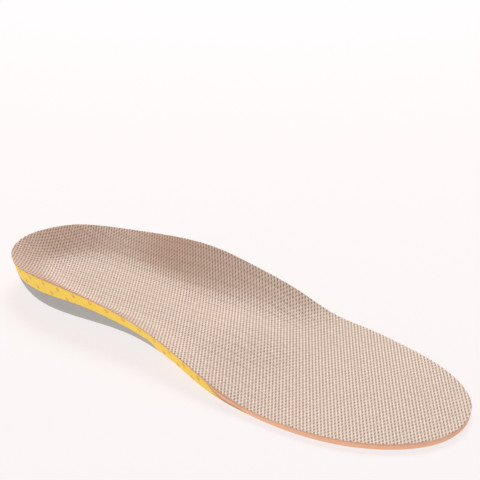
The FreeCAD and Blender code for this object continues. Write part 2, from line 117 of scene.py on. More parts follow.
def smax(a, b, k=0.35):
    return 0.5 * (a + b + np.sqrt((a - b) ** 2 + k * k)) - 0.06 * k


def bump(x, y, c):
    r2 = ((x - c[0]) / c[2]) ** 2 + ((y - c[1]) / c[3]) ** 2
    return c[4] * np.exp(-1.35 * r2 ** 1.25)


def loop_curve(pts, t):
    """Closed smooth curve through points of any dimension, by chord length, at parameters t from 0 to 1."""
    p = np.asarray(pts, float)
    n = len(p)
    nx = np.roll(p, -1, 0)
    h = np.hypot(*(nx - p)[:, :2].T)
    s = np.r_[0, np.cumsum(h)]
    m = np.zeros((n, n))
    r = np.zeros_like(p)
    for i in range(n):
        m[i, (i - 1) % n] += h[i - 1]
        m[i, i] += 2 * (h[i - 1] + h[i])
        m[i, (i + 1) % n] += h[i]
        r[i] = 6 * ((nx[i] - p[i]) / h[i] - (p[i] - p[i - 1]) / h[i - 1])
    k = np.linalg.solve(m, r)
    u = (np.asarray(t) % 1.0) * s[-1]
    i = np.clip(np.searchsorted(s, u, side="left") - 1, 0, n - 1)
    j = (i + 1) % n
    a, b, hh = (s[i + 1] - u)[:, None], (u - s[i])[:, None], h[i][:, None]
    return (k[i] * a ** 3 + k[j] * b ** 3) / (6 * hh) + (p[i] / hh - k[i] * hh / 6) * a + (p[j] / hh - k[j] * hh / 6) * b


def open_curve(pts, step):
    """Dense points along a smooth open curve (centripetal blend of parabolas)."""
    p = np.asarray(pts, float)
    q = np.vstack([2 * p[0] - p[1], p, 2 * p[-1] - p[-2]])
    out = []
    for i in range(1, len(q) - 2):
        n = max(2, int(np.linalg.norm(q[i + 1] - q[i]) / step))
        t = np.arange(n)[:, None] / n
        out.append(0.5 * (2 * q[i] + (q[i + 1] - q[i - 1]) * t + (2 * q[i - 1] - 5 * q[i] + 4 * q[i + 1] - q[i + 2]) * t ** 2
                          + (3 * q[i] - q[i - 1] - 3 * q[i + 1] + q[i + 2]) * t ** 3))
    out.append(q[-2][None])
    return np.vstack(out)


def pchip(tab, x):
    xs, ys = tab[:, 0], tab[:, 1]
    d = np.diff(ys) / np.diff(xs)
    m = np.r_[d[0], np.where(d[:-1] * d[1:] > 0, 0.5 * (d[:-1] + d[1:]), 0.0), d[-1]]
    x = np.clip(x, xs[0], xs[-1])
    i = np.clip(np.searchsorted(xs, x, side="left") - 1, 0, len(d) - 1)
    h = xs[i + 1] - xs[i]
    u = (x - xs[i]) / h
    return ((1 + 2 * u) * (1 - u) ** 2 * ys[i] + u * (1 - u) ** 2 * h * m[i] + u * u * (3 - 2 * u) * ys[i + 1]
            + u * u * (u - 1) * h * m[i + 1])


# ---------------------------------------------------------------- the form
NT = 720
T = np.arange(NT) / NT
R = loop_curve(RIM, T)
TAN = np.roll(R, -2, 0)[:, :2] - np.roll(R, 2, 0)[:, :2]
TAN /= np.linalg.norm(TAN, axis=1)[:, None]
NRM = np.c_[TAN[:, 1], -TAN[:, 0]]                   # points inwards
if np.sum(R[:, 0] * np.roll(R[:, 1], -1) - np.roll(R[:, 0], -1) * R[:, 1]) > 0:
    NRM = -NRM
ARC = np.r_[0, np.cumsum(np.hypot(*(np.roll(R, -1, 0) - R)[:, :2].T))]   # along the rim
FLAT = R[:, :2] + NRM * R[:, 3:4]                    # edge of the flat bottom
KS = np.r_[np.linspace(0, 1, 9), 2.0]


def spine_x(x):
    a, b, k = 38.0, 212.0, 9.0
    lo = a + k * np.logaddexp(0, (x - a) / k)
    return b - k * np.logaddexp(0, (b - lo) / k)


def spine_y(x):
    return 2.0 - 6.3 * smooth(50, 190, x)


SP = np.c_[spine_x(R[:, 0]), spine_y(spine_x(R[:, 0]))]


def fan(P, A, B, want="small"):
    """For each point, the index (with fraction) of the fan line from A to B that it lies on; -1 where there is none."""
    A2, B2 = np.vstack([A, A[:1]]), np.vstack([B, B[:1]])
    D = B2 - A2
    out = np.full(len(P), -1.0)
    for c in range(0, len(P), 6000):
        p = P[c:c + 6000]
        qx, qy = p[:, :1] - A2[:, 0], p[:, 1:2] - A2[:, 1]
        cr = D[:, 0] * qy - D[:, 1] * qx
        hit = (cr[:, :-1] < 0) & (cr[:, 1:] >= 0) & ((D[:-1, 0] * qx[:, :-1] + D[:-1, 1] * qy[:, :-1]) > -1e-6)
        d2 = qx[:, :-1] ** 2 + qy[:, :-1] ** 2
        if want == "small":
            score = np.where(hit, np.abs(np.sqrt(d2) - np.sqrt((D[:-1] ** 2).sum(1))), 1e9)
        else:
            score = np.where(hit, d2, 1e9)
        k = score.argmin(1)
        ok = hit[np.arange(len(p)), k]
        a, b = cr[np.arange(len(p)), k], cr[np.arange(len(p)), k + 1]
        out[c:c + 6000] = np.where(ok, k + a / np.where(a == b, 1, a - b), -1)
    return out


def at(table, f):
    """Periodic table at fractional indices."""
    i = np.floor(f).astype(int)
    w = (f - i)[:, None] if table.ndim > 1 else f - i
    return table[i % len(table)] * (1 - w) + table[(i + 1) % len(table)] * w


def ring(P):
    f = fan(P, SP, R[:, :2])
    lost = f < 0
    ff = np.where(lost, 0, f)
    r, s = at(R, ff), at(SP, ff)
    rho = np.hypot(*(r[:, :2] - s).T) - np.hypot(*(P - s).T)
    if lost.any():
        q = P[lost]
        k = np.array([np.hypot(*(R[:, :2] - p).T).argmin() for p in q])
        d = np.hypot(*(R[k, :2] - q).T)
        sg = np.where((q[:, 0] > 30) & (q[:, 0] < 225) & (np.abs(q[:, 1]) < 15), 1, -1)
        r[lost], rho[lost] = R[k], sg * d
    return r, rho


def bowl(u):
    """Bowl's side: a straight slope from the rim with a rounded foot; 1 at the rim, 0 at the bowl's floor."""
    sp = lambda v: 0.10 * np.logaddexp(0, (0.66 - v) / 0.10)
    return np.where(u < 1, (sp(u) - sp(1.0)) / (sp(0.0) - sp(1.0)), 0.0)


def top_z(P, rr=None):
    r, rho = rr or ring(P)
    fl = pchip(FLOOR, P[:, 0])
    u = np.maximum(-0.9, rho / r[:, 6])
    return fl + (r[:, 2] - fl) * bowl(u) + bump(P[:, 0], P[:, 1], DOME)


def under_z(x, y):
    return np.maximum(0, smax(bump(x, y, LIFT) - 0.6, smax(bump(x, y, DISH) - 0.25, 0.0)) - 0.03)


def section(r):
    """Insets and heights of the outer wall from the flat bottom's edge to the rim, for each row of r."""
    corner = r[:, 3] - r[:, 4]
    slope = np.hypot(corner, r[:, 2])
    ex, ez = corner - corner * r[:, 4] / slope, r[:, 2] * r[:, 4] / slope
    k = np.minimum(KS, 1)[None]
    d = (1 - k) ** 2 * r[:, 3:4] + 2 * k * (1 - k) * corner[:, None] + k * k * ex[:, None]
    z = k * k * ez[:, None]
    d[:, -1], z[:, -1] = 0.0, r[:, 2]
    s = np.concatenate([np.zeros((len(r), 1)), np.cumsum(np.hypot(np.diff(d, axis=1), np.diff(z, axis=1)), 1)], 1)
    return d, z, s


SD, SZ, SS = section(R)
LEN = SS[:, -1]                                      # length of the wall from the flat bottom's edge to the rim


def len_at(f, z):
    """Length along the wall, from the flat bottom's edge, where it reaches height z."""
    r = at(R, f)
    d, zz, s = section(r)
    i = np.clip((zz < z[:, None]).sum(1) - 1, 0, zz.shape[1] - 2)
    n = np.arange(len(f))
    w = (z - zz[n, i]) / (zz[n, i + 1] - zz[n, i])
    return s[n, i] + w * (s[n, i + 1] - s[n, i])


def wall(f, ell):
    """Plan position and height of wall points: rim parameter f (fractional index), length ell."""
    r, n2 = at(R, f), at(NRM, f)
    n2 /= np.linalg.norm(n2, axis=1)[:, None]
    d, z, s = section(r)
    i = np.clip((s <= ell[:, None]).sum(1) - 1, 0, s.shape[1] - 2)
    n = np.arange(len(f))
    w = (ell - s[n, i]) / (s[n, i + 1] - s[n, i])
    dd, zz = d[n, i] + w * (d[n, i + 1] - d[n, i]), z[n, i] + w * (z[n, i + 1] - z[n, i])
    P = r[:, :2] + n2 * dd[:, None]
    return np.c_[P, zz], dd


def plan(f, ell):
    """Unrolled plan position of a wall point."""
    n2 = at(NRM, f)
    n2 /= np.linalg.norm(n2, axis=1)[:, None]
    c = at(R, f)
    return c[:, :2] + n2 * (c[:, 3:4] - ell[:, None])


def unplan(UV):
    """(f, ell) of unrolled plan points; f is -1 and ell 0 on the flat bottom."""
    f = fan(UV, FLAT, FLAT - NRM, "near")
    on = f >= 0
    ell = np.zeros(len(UV))
    if on.any():
        n2 = at(NRM, f[on])
        n2 /= np.linalg.norm(n2, axis=1)[:, None]
        c = at(R, f[on])
        ell[on] = -((UV[on] - (c[:, :2] + n2 * c[:, 3:4])) * n2).sum(1)
    f[ell <= 1e-5] = -1
    ell[f < 0] = 0
    return f, ell


def outer(UV, fe=None):
    """Outer surface of the form at unrolled plan points."""
    f, ell = fe or unplan(UV)
    P = np.c_[UV, np.zeros(len(UV))]
    on = f >= 0
    if on.any():
        P[on] = wall(f[on], ell[on])[0]
    lift = under_z(P[:, 0], P[:, 1])
    P[:, 2] = np.where(lift > 0.02, smax(P[:, 2], lift), P[:, 2])
    return P


# ---------------------------------------------------------------- triangulation
def even_odd(loops, P):
    A = np.vstack(loops)
    B = np.vstack([np.roll(l, -1, 0) for l in loops])
    hit = np.zeros(len(P), bool)
    for c in range(0, len(P), 4000):
        p = P[c:c + 4000]
        x, y = p[:, :1], p[:, 1:2]
        cond = (A[:, 1] > y) != (B[:, 1] > y)
        dy = np.where(B[:, 1] == A[:, 1], 1, B[:, 1] - A[:, 1])
        hit[c:c + 4000] = ((cond & (x < (B[:, 0] - A[:, 0]) * (y - A[:, 1]) / dy + A[:, 0])).sum(1) % 2) == 1
    return hit


def hex_points(loops, h, clear, phase=0.0):
    """Points of a triangular grid inside the loops; the argument clear is not used."""
    lo, hi = np.vstack(loops).min(0), np.vstack(loops).max(0)
    ys = np.arange(lo[1] + 0.37 * h, hi[1], h * 0.8660254)
    A = np.vstack(loops)
    B = np.vstack([np.roll(l, -1, 0) for l in loops])
    out = []
    for k, y in enumerate(ys):
        c = (A[:, 1] > y) != (B[:, 1] > y)
        xs = np.sort((B[c, 0] - A[c, 0]) * (y - A[c, 1]) / (B[c, 1] - A[c, 1]) + A[c, 0])
        gx = np.arange(math.floor(lo[0] / h) * h, hi[0], h) + (0.5 * h if k % 2 else 0) + phase
        gx = gx[np.searchsorted(xs, gx) % 2 == 1]
        if len(gx):
            out.append(np.c_[gx, np.full(len(gx), y)])
    return np.vstack(out) if out else np.zeros((0, 2))


def thin(P, fixed, d):
    """Drops the points of P that lie closer than d to a fixed point."""
    if not len(P):
        return P
    cell = {}
    q = np.floor(fixed / d).astype(int)
    for i, (a, b) in enumerate(map(tuple, q)):
        cell.setdefault((a, b), []).append(i)
    keys = np.array(list(cell))
    near = set()
    for a, b in cell:
        for i in (-1, 0, 1):
            for j in (-1, 0, 1):
                near.add((a + i, b + j))
    k = np.floor(P / d).astype(int)
    base = np.int64(1 << 20)
    code = (k[:, 0].astype(np.int64) + 50000) * base + k[:, 1] + 50000
    near_code = np.array([(a + 50000) * (1 << 20) + b + 50000 for a, b in near], np.int64)
    hot = np.isin(code, near_code)
    keep = np.ones(len(P), bool)
    for i in np.nonzero(hot)[0]:
        a, b = k[i]
        idx = [n for u in (-1, 0, 1) for v in (-1, 0, 1) for n in cell.get((a + u, b + v), ())]
        if idx and ((fixed[idx] - P[i]) ** 2).sum(1).min() < d * d:
            keep[i] = False
    return P[keep]


def resample(loop, h):
    """Closed polygon resampled evenly at about h."""
    p = np.vstack([loop, loop[:1]])
    s = np.r_[0, np.cumsum(np.hypot(*np.diff(p, axis=0).T))]
    n = max(8, int(round(s[-1] / h)))
    u = np.arange(n) / n * s[-1]
    return np.c_[np.interp(u, s, p[:, 0]), np.interp(u, s, p[:, 1])]


def signed(loop):
    return 0.5 * np.sum(loop[:, 0] * np.roll(loop[:, 1], -1) - np.roll(loop[:, 0], -1) * loop[:, 1])


def inset(loop, d, hole=False):
    """Polygon moved into the domain by d: inwards for an outer loop, outwards for a hole."""
    a = np.roll(loop, -1, 0) - np.roll(loop, 1, 0)
    a /= np.linalg.norm(a, axis=1)[:, None] + 1e-12
    n = np.c_[-a[:, 1], a[:, 0]] * (1 if signed(loop) > 0 else -1)
    return loop + n * (d * (-1 if hole else 1))


def mesh_domain(loops, pts, rings=()):
    """Triangulates the inside of loops (the first is the outer one, the rest holes) through the given points.
    Vertices come in the order loops, rings, points."""
    every = np.vstack([*loops, *rings, pts]) if len(pts) else np.vstack([*loops, *rings])
    edges, tag, k = [], [], 0
    for n, l in enumerate(loops):
        m = len(l)
        edges += [(k + i, k + (i + 1) % m) for i in range(m)]
        tag += [n] * m
        k += m
    res = delaunay_2d_cdt([Vector(p) for p in every], edges, [], 0, 1e-7, True)
    V = np.array([(v[0], v[1]) for v in res[0]])
    F = np.array(res[2])
    orig = res[3]
    source = np.array([o[0] if len(o) else -1 for o in orig])
    nb = k
    on_loop = (source >= 0) & (source < nb)
    on_loop |= source < 0
    allb = on_loop[F].all(1)
    keep = np.ones(len(F), bool)
    if allb.any():
        cen = V[F[allb]].mean(1)
        keep[allb] = even_odd(loops, cen)
    # triangles with a vertex outside the domain can't exist, as every free point lies inside
    F = F[keep]
    # back to the caller's order
    order = np.full(len(V), -1)
    good = source >= 0
    order[good] = source[good]
    extra = np.nonzero(~good)[0]
    total = len(every)
    order[extra] = total + np.arange(len(extra))
    W = np.vstack([every, V[extra]]) if len(extra) else every
    F = order[F]
    a, b, c = W[F[:, 0]], W[F[:, 1]], W[F[:, 2]]
    area = (b[:, 0] - a[:, 0]) * (c[:, 1] - a[:, 1]) - (b[:, 1] - a[:, 1]) * (c[:, 0] - a[:, 0])
    F = F[np.abs(area) > 1e-12]
    area = area[np.abs(area) > 1e-12]
    F[area < 0] = F[area < 0][:, ::-1]
    return W, F


def vertex_normals(V, F):
    n = np.cross(V[F[:, 1]] - V[F[:, 0]], V[F[:, 2]] - V[F[:, 0]])
    out = np.zeros_like(V)
    for k in range(3):
        for a in range(3):
            out[:, a] += np.bincount(F[:, k], n[:, a], len(V))
    return out / (np.linalg.norm(out, axis=1)[:, None] + 1e-12)


def strip(a, b):
    """Faces between two closed rows of vertex indices of the same length."""
    a, b = np.asarray(a), np.asarray(b)
    a2, b2 = np.roll(a, -1), np.roll(b, -1)
    return np.vstack([np.c_[a, b, b2], np.c_[a, b2, a2]])


def flip_out(V, F):
    """Turns all faces if the closed surface's volume is negative."""
    v = np.einsum("ij,ij->i", V[F[:, 0]], np.cross(V[F[:, 1]], V[F[:, 2]])).sum()
    return F if v > 0 else F[:, ::-1]


def drop_flaps(F):
    """Takes out loose slivers that hang on the edges of a closed surface."""
    E = np.sort(np.concatenate([F[:, [0, 1]], F[:, [1, 2]], F[:, [2, 0]]]), axis=1).astype(np.int64)
    _, inv, cnt = np.unique(E[:, 0] * (E.max() + 1) + E[:, 1], return_inverse=True, return_counts=True)
    c = cnt[inv.ravel()].reshape(3, -1).T
    return F[~((c.min(1) == 1) & (c.max(1) > 2))]


def make(name, V, F, attrs=None, smooth_angle=None):
    """Mesh object from millimetres in part coordinates."""
    F = drop_flaps(F)
    used = np.unique(F)
    remap = np.full(len(V), -1)
    remap[used] = np.arange(len(used))
    V, F = V[used], remap[F]
    P = (V + SHIFT) / 1000.0
    me = bpy.data.meshes.new(name)
    me.vertices.add(len(P))
    me.vertices.foreach_set("co", P.astype(np.float32).ravel())
    me.loops.add(len(F) * 3)
    me.loops.foreach_set("vertex_index", F.astype(np.int32).ravel())
    me.polygons.add(len(F))
    me.polygons.foreach_set("loop_start", np.arange(0, len(F) * 3, 3, dtype=np.int32))
    me.polygons.foreach_set("loop_total", np.full(len(F), 3, dtype=np.int32))
    me.update(calc_edges=True)
    me.validate()
    me.polygons.foreach_set("use_smooth", np.ones(len(me.polygons), bool))
    for key, val in (attrs or {}).items():
        val = np.asarray(val, np.float32)[used]
        if val.ndim == 2:
            if val.shape[1] == 2:
                val = np.c_[val, np.zeros(len(val), np.float32)]
            at_ = me.attributes.new(key, "FLOAT_VECTOR", "POINT")
            at_.data.foreach_set("vector", val.astype(np.float32).ravel())
        else:
            at_ = me.attributes.new(key, "FLOAT", "POINT")
            at_.data.foreach_set("value", val.ravel())
    if smooth_angle is not None:
        me.set_sharp_from_angle(angle=math.radians(smooth_angle))
    o = bpy.data.objects.new(name, me)
    bpy.context.scene.collection.objects.link(o)
    return o


# ---------------------------------------------------------------- shared lines
IDX = np.arange(NT, dtype=float)
ax_side = (R[:, :2] - MID) @ NO                      # > 0 ahead of the flex line
ZR = R[:, 2]
EDGE_COVER = 0.52                                    # cover's edge, down the wall from the rim
lat = R[:, 1] < 0


def z_cushion_top(f):
    """Height on the wall where the foam base ends and the perforated cushion starts."""
    r = at(R, f)
    w = np.where(r[:, 1] < 0, smooth(149, 163, r[:, 0]), smooth(178, 200, r[:, 0]))
    return mix(r[:, 2] - 1.22, np.minimum(0.8, r[:, 2] - 1.9), w)


def down_wall(f, dz):
    """Plan, height and unrolled plan of the wall's point that lies dz below the rim."""
    r = at(R, f)
    ell = len_at(f, r[:, 2] - dz)
    P, _ = wall(f, ell)
    return P, ell


def dist_to(P, loop, closed=True):
    """Distance from each point to a polyline."""
    a = loop
    b = np.roll(loop, -1, 0) if closed else loop[1:]
    if not closed:
        a = loop[:-1]
    d = b - a
    l2 = (d ** 2).sum(1) + 1e-12
    out = np.empty(len(P))
    for c in range(0, len(P), 4000):
        p = P[c:c + 4000]
        qx, qy = p[:, :1] - a[:, 0], p[:, 1:2] - a[:, 1]
        t = np.clip((qx * d[:, 0] + qy * d[:, 1]) / l2, 0, 1)
        out[c:c + 4000] = np.sqrt(((qx - t * d[:, 0]) ** 2 + (qy - t * d[:, 1]) ** 2).min(1))
    return out


# ---------------------------------------------------------------- top cover
def radial_excess(r, rho, P):
    """Extra length of the top surface, over its plan, from the bowl's foot out to each point."""
    W = r[:, 6]
    H = r[:, 2] - pchip(FLOOR, P[:, 0])
    a = np.clip(rho, -1, W)
    n = 24
    k = (np.arange(n) + 0.5) / n
    q = a[:, None] + (W - a)[:, None] * k[None]
    g = (bowl(q / W[:, None] + 0.005) - bowl(q / W[:, None] - 0.005)) / 0.01 * (H / W)[:, None]
    return np.where(rho < W, (np.sqrt(1 + g * g).mean(1) - 1) * (W - a), 0.0)


def cover_bottom(P, rr):
    return top_z(P, rr) - mix(0.32, COVER_T, smooth(0, 3, rr[1]))


def interface(P, rr):
    """Height of the face between the foam base and the perforated cushion."""
    full = COVER_T + FOAM_T + 0.7 * smooth(110, 178, P[:, 0])
    return top_z(P, rr) - mix(0.68, full, smooth(0, 6, rr[1]))


rim_loop = R[:, :2].copy()
c1, c2, c3 = inset(rim_loop, 0.10), inset(rim_loop, 0.28), inset(rim_loop, 0.62)
h = 0.8 * FINE
pts = thin(hex_points([inset(rim_loop, 0.8)], h, 0), c3, 0.55 * h)
UV, F = mesh_domain([rim_loop], pts, [c1, c2, c3])
rr = ring(UV)
rr[1][:NT] = 0
V = np.c_[UV, top_z(UV, rr)]
drop = np.zeros(len(V))
drop[:NT], drop[NT:2 * NT], drop[2 * NT:3 * NT] = 0.16, 0.055, 0.01
V[:, 2] -= drop
s_at = at(SP, np.where(fan(UV, SP, R[:, :2]) < 0, 0, fan(UV, SP, R[:, :2])))
e_out = UV - s_at
e_len = np.linalg.norm(e_out, axis=1)[:, None]
e_out = e_out / np.maximum(e_len, 1e-6)
pat = UV + e_out * radial_excess(rr[0], rr[1], UV)[:, None]
mid_row, _ = down_wall(IDX, np.full(NT, 0.30))
low_row, low_ell = down_wall(IDX, np.full(NT, EDGE_COVER))
n0 = len(V)
rows = [mid_row, low_row + np.c_[NRM * 0.02, np.zeros(NT)]]
low_loop = rows[1][:, :2]
bp = thin(hex_points([inset(low_loop, 1.2)], 2.2, 0), low_loop, 1.2)
UVb, Fb = mesh_domain([low_loop], bp)
Vb = np.c_[UVb, cover_bottom(UVb, ring(UVb))]
Vb[:NT] = rows[1]
allV = np.vstack([V, rows[0], Vb])
allF = np.vstack([F, strip(np.arange(NT), n0 + np.arange(NT)), strip(n0 + np.arange(NT), n0 + NT + np.arange(NT)),
                  Fb[:, ::-1] + n0 + NT])
apat = np.vstack([pat, pat[:NT] + e_out[:NT] * 0.25, np.r_[pat[:NT] + e_out[:NT] * 0.5, UVb[NT:]]])
edge = np.zeros(len(allV))
edge[n0:n0 + 2 * NT] = 1
edge[:NT] = 0.6
# painted shade mask: how much the top surface slopes, used to darken the bowl's walls
painted_wall_shade = np.zeros(len(allV))
painted_wall_shade[:len(V)] = smooth(0.30, 0.85, np.hypot(*vertex_normals(V, F)[:, :2].T))
cover = make("top_cover_cloth", allV, flip_out(allV, allF), {"pat": apat, "edge": edge, "painted_wall_shade": painted_wall_shade})

# ---------------------------------------------------------------- pattern fields of the underside
WAVE_PITCH, WAVE_LONG, WAVE_AMP = 2.5, 5.4, 0.62


def flex_coords(P):
    """(distance ahead of the flex line, distance along it)."""
    d = P[:, :2] - MID
    return d @ NO, d @ AX


def wave_lines(P):
    """Distance from the nearest wavy line of the straight pattern: lines across the foot, neighbours in opposite phase."""
    a, b = flex_coords(P)
    best = np.full(len(P), 9.0)
    k0 = np.floor(a / WAVE_PITCH)
    for dk in (-1, 0, 1, 2):
        k = k0 + dk
        ph = np.where(np.mod(k, 2) == 0, 0.0, np.pi)
        th = 2 * np.pi * b / WAVE_LONG + ph
        y = k * WAVE_PITCH + WAVE_AMP * np.sin(th)
        sl = WAVE_AMP * 2 * np.pi / WAVE_LONG * np.cos(th)
        best = np.minimum(best, np.abs(a - y) / np.sqrt(1 + sl * sl))
    return best


def toe_lines(P, f, rho):
    """Distance from the nearest wavy line of the band that follows the toe's edge."""
    i = np.clip(np.floor(f).astype(int), 0, NT - 1)
    s = ARC[i] + (f - i) * (ARC[i + 1] - ARC[i])
    best = np.full(len(P), 9.0)
    k0 = np.floor(rho / 2.35)
    for dk in (-1, 0, 1, 2):
        k = k0 + dk
        ph = np.where(np.mod(k, 2) == 0, 0.0, np.pi)
        th = 2 * np.pi * s / 5.0 + ph
        y = k * 2.35 + 0.5 * np.sin(th)
        sl = 0.5 * 2 * np.pi / 5.0 * np.cos(th)
        best = np.minimum(best, np.where(k >= 1, np.abs(rho - y) / np.sqrt(1 + sl * sl), 9.0))
    return best


# ---------------------------------------------------------------- foam base
ell_low = low_ell
ell_ct = np.array(len_at(IDX, np.clip(z_cushion_top(IDX), 0.02, None)))
ahead = ax_side > 0
foam_loop = plan(IDX, ell_low)
flat_loop = plan(IDX, np.zeros(NT))
ct_loop = plan(IDX, ell_ct)
hf = 0.42 * FINE
front_poly_pts = hex_points([inset(foam_loop, 0.3)], hf, 0)
fa, fb = flex_coords(front_poly_pts)
front_pts = front_poly_pts[fa > 0.35]
back_pts = hex_points([inset(foam_loop, 3.0)], 2.4, 0)
ba, _ = flex_coords(back_pts)
back_pts = back_pts[ba < -2.0]
rings_f = []
seg = np.arange(-60, 60, 0.6)
for off in (-0.30, -0.16, -0.02, 0.12):
    q = MID + NO * off + AX * seg[:, None]
    q = q[even_odd([inset(foam_loop, 0.12)], q)]
    rings_f.append(q)
# the rear strip between the cover's edge and the cushion: rows just above and below where the foam ends
behind = np.nonzero(~ahead)[0]
r1 = plan(IDX, np.minimum(ell_low - 0.06, ell_ct + 0.02))[behind]
r2 = plan(IDX, np.minimum(ell_low - 0.12, ell_ct - 0.10))[behind]
r3_ = plan(IDX, ell_ct - 1.5)[behind]
off_flex = lambda q, d: q[np.abs(flex_coords(q)[0]) > d]
strip_rows = [off_flex(r1, 0.5), off_flex(r2, 0.5), off_flex(r3_, 1.0)]
fixed = np.vstack([foam_loop] + rings_f)
front_pts = thin(front_pts, fixed, 0.6 * hf)
back_pts = thin(back_pts, np.vstack(strip_rows + [foam_loop]), 1.2)
UV, F = mesh_domain([foam_loop], np.vstack([front_pts, back_pts]), rings_f + strip_rows)
fe = unplan(UV)
f_all, ell_all = fe
f_all[:NT], ell_all[:NT] = IDX, ell_low
P = outer(UV, (f_all, ell_all))
a_f, b_f = flex_coords(P)
rr = ring(P[:, :2])
ct_here = np.where(f_all >= 0, at(ell_ct, np.maximum(f_all, 0)), 0)
on_front = a_f > -0.01
deep = (~on_front) & ((f_all < 0) | (ell_all < ct_here - 0.03))
# recessed rear underside: plan squeezed to the interface's own outline
q = P[deep].copy()
fd, ld = f_all[deep], ell_all[deep]
w = np.where(fd >= 0, ld / np.maximum(ct_here[deep], 1e-6), 0)
wp, dd = wall(np.maximum(fd, 0), np.where(fd >= 0, ct_here[deep], 0))
rin = at(R, np.maximum(fd, 0))
nn = at(NRM, np.maximum(fd, 0))
ins = rin[:, 3] + (dd - rin[:, 3]) * np.clip(w, 0, 1)
q[:, :2] = np.where((fd >= 0)[:, None], rin[:, :2] + nn * ins[:, None], q[:, :2])
rq = ring(q[:, :2])
q[:, 2] = interface(q[:, :2], rq)
P[deep] = q
N3 = vertex_normals(P, F)
N3 *= -1.0 if N3[:, 2].mean() > 0 else 1.0
rho_e = dist_to(UV, flat_loop)
inside_flat = f_all < 0
rho_e = np.where(inside_flat, rho_e, 0)
line = wave_lines(UV)
toe_w = smooth(214, 226, UV[:, 0])
tl = toe_lines(UV, np.maximum(fan(UV, SP, R[:, :2]), 0), rr[1])
band = rr[1] < 11.5
use_toe = toe_w * smooth(13.0, 11.0, rr[1])
g1 = smooth(0.46, 0.10, line) * smooth(1.8, 2.6, rho_e) * (1 - use_toe)
g2 = smooth(0.42, 0.10, tl) * use_toe * smooth(1.2, 2.0, rho_e)
groove = np.maximum(g1, g2) * (a_f > 0.3)
hill = smooth(0.3, 1.3, np.minimum(line, np.where(use_toe > 0.5, tl, 9))) * (a_f > 0.2) * smooth(0.8, 2.2, rho_e)
disp = -0.42 * groove + 0.07 * hill
P += N3 * (disp * on_front)[:, None]
Vf = P
n0 = len(Vf)
# top cap, just below the cover's underside
tp = thin(hex_points([inset(low_loop, 1.2)], 2.2, 0), low_loop, 1.2)
UVt, Ft = mesh_domain([low_loop], tp)
Vt = np.c_[UVt, cover_bottom(UVt, ring(UVt)) - 0.03]
Vf[:NT] = low_row + np.c_[-NRM * 0.015, np.full(NT, -0.02)]
keep_top = Vt[NT:]
map_top = np.r_[np.arange(NT), n0 + np.arange(len(keep_top))]
allV = np.vstack([Vf, keep_top])
allF = np.vstack([F[:, ::-1], map_top[Ft]])
gr = np.r_[groove, np.zeros(len(keep_top))]
fpat = np.vstack([UV, keep_top[:, :2]])
side = np.r_[np.where((f_all >= 0) & (ell_all > 0.3), 1.0, 0.0), np.ones(len(keep_top))]
foam = make("foam_base_soft", allV, flip_out(allV, allF), {"pat": fpat, "groove": gr, "side": side}, None)
print("foam", len(allV), len(allF))

# ---------------------------------------------------------------- support shell: its outline in the unrolled plan
def param_at(x, side_sign):
    """Rim index on the medial (+1) or lateral (-1) side whose plan x is x."""
    k = np.nonzero((np.sign(R[:, 1]) == side_sign) & (R[:, 0] < 250))[0]
    return k[np.abs(R[k, 0] - x).argmin()]


top_shell = R[:, 5].copy()
top_shell = np.where(lat, top_shell * (1 - 0.9 * smooth(111, 118.5, R[:, 0])), top_shell)
ell_sh = len_at(IDX, np.clip(top_shell, 0.02, None))
i_med, i_lat = param_at(147.0, 1), param_at(117.0, -1)
# clockwise loop: heel, medial side, front lobe, lateral side
med = [i % NT for i in range(0, i_med + 1, 2)]
latl = [i % NT for i in range(i_lat, NT, 2)]
m_part = plan(np.array(med, float), ell_sh[med])
l_part = plan(np.array(latl, float), ell_sh[latl])
front_line = open_curve([(155.9, 32.7), (160.4, 28.4), (165.9, 22.9), (171.5, 16.6), (176.0, 10.2), (178.9, 3.8), (180.0, -2.4),
                         (179.4, -8.5), (176.7, -14.8), (172.7, -20.6), (167.2, -26.0), (160.4, -30.8), (153.3, -34.2),
                         (146.6, -35.9), (139.8, -36.0), (132.3, -34.8), (124.5, -33.4)], 0.7)
corner = open_curve([tuple(m_part[-1]), (152.6, 37.9), (155.9, 32.7)], 0.7)[1:-1]
shell_loop = resample(np.vstack([m_part, corner, front_line, l_part]), 0.6)
k = np.hanning(9)
k /= k.sum()
sm = np.vstack([shell_loop[-4:], shell_loop, shell_loop[:4]])
shell_loop = np.c_[np.convolve(sm[:, 0], k, "valid"), np.convolve(sm[:, 1], k, "valid")]
oval_loop = resample(loop_curve(OVAL, np.arange(200) / 200), 0.55)
if signed(oval_loop) > 0:
    oval_loop = oval_loop[::-1]


def stadium_loop(c, hw, step=0.5):
    c = open_curve(c, 0.5)
    t = np.gradient(c, axis=0)
    t /= np.linalg.norm(t, axis=1)[:, None]
    n = np.c_[-t[:, 1], t[:, 0]]
    left, right = c + n * hw, (c - n * hw)[::-1]

    def cap(p, d, a0):
        a = a0 + np.linspace(0, math.pi, 9)[1:-1]
        return p + hw * np.c_[np.cos(a), np.sin(a)]

    a_end = math.atan2(n[-1][1], n[-1][0])
    cap_end = c[-1] + hw * np.c_[np.cos(a_end - np.linspace(0, math.pi, 10)[1:-1]), np.sin(a_end - np.linspace(0, math.pi, 10)[1:-1])]
    a_beg = math.atan2(-n[0][1], -n[0][0])
    cap_beg = c[0] + hw * np.c_[np.cos(a_beg - np.linspace(0, math.pi, 10)[1:-1]), np.sin(a_beg - np.linspace(0, math.pi, 10)[1:-1])]
    return resample(np.vstack([left, cap_end, right, cap_beg]), step)


slot_loops = [stadium_loop(s, 1.6) for s in SLOTS]
hole_loops = [np.c_[hx + 1.3 * np.cos(np.linspace(0, 2 * np.pi, 20, endpoint=False)), hy + 1.0 * np.sin(np.linspace(0, 2 * np.pi, 20, endpoint=False))]
              for hx, hy in HOLES]
pad_loop = resample(loop_curve(PAD, np.arange(240) / 240), 0.6)
windows = [oval_loop] + slot_loops + hole_loops


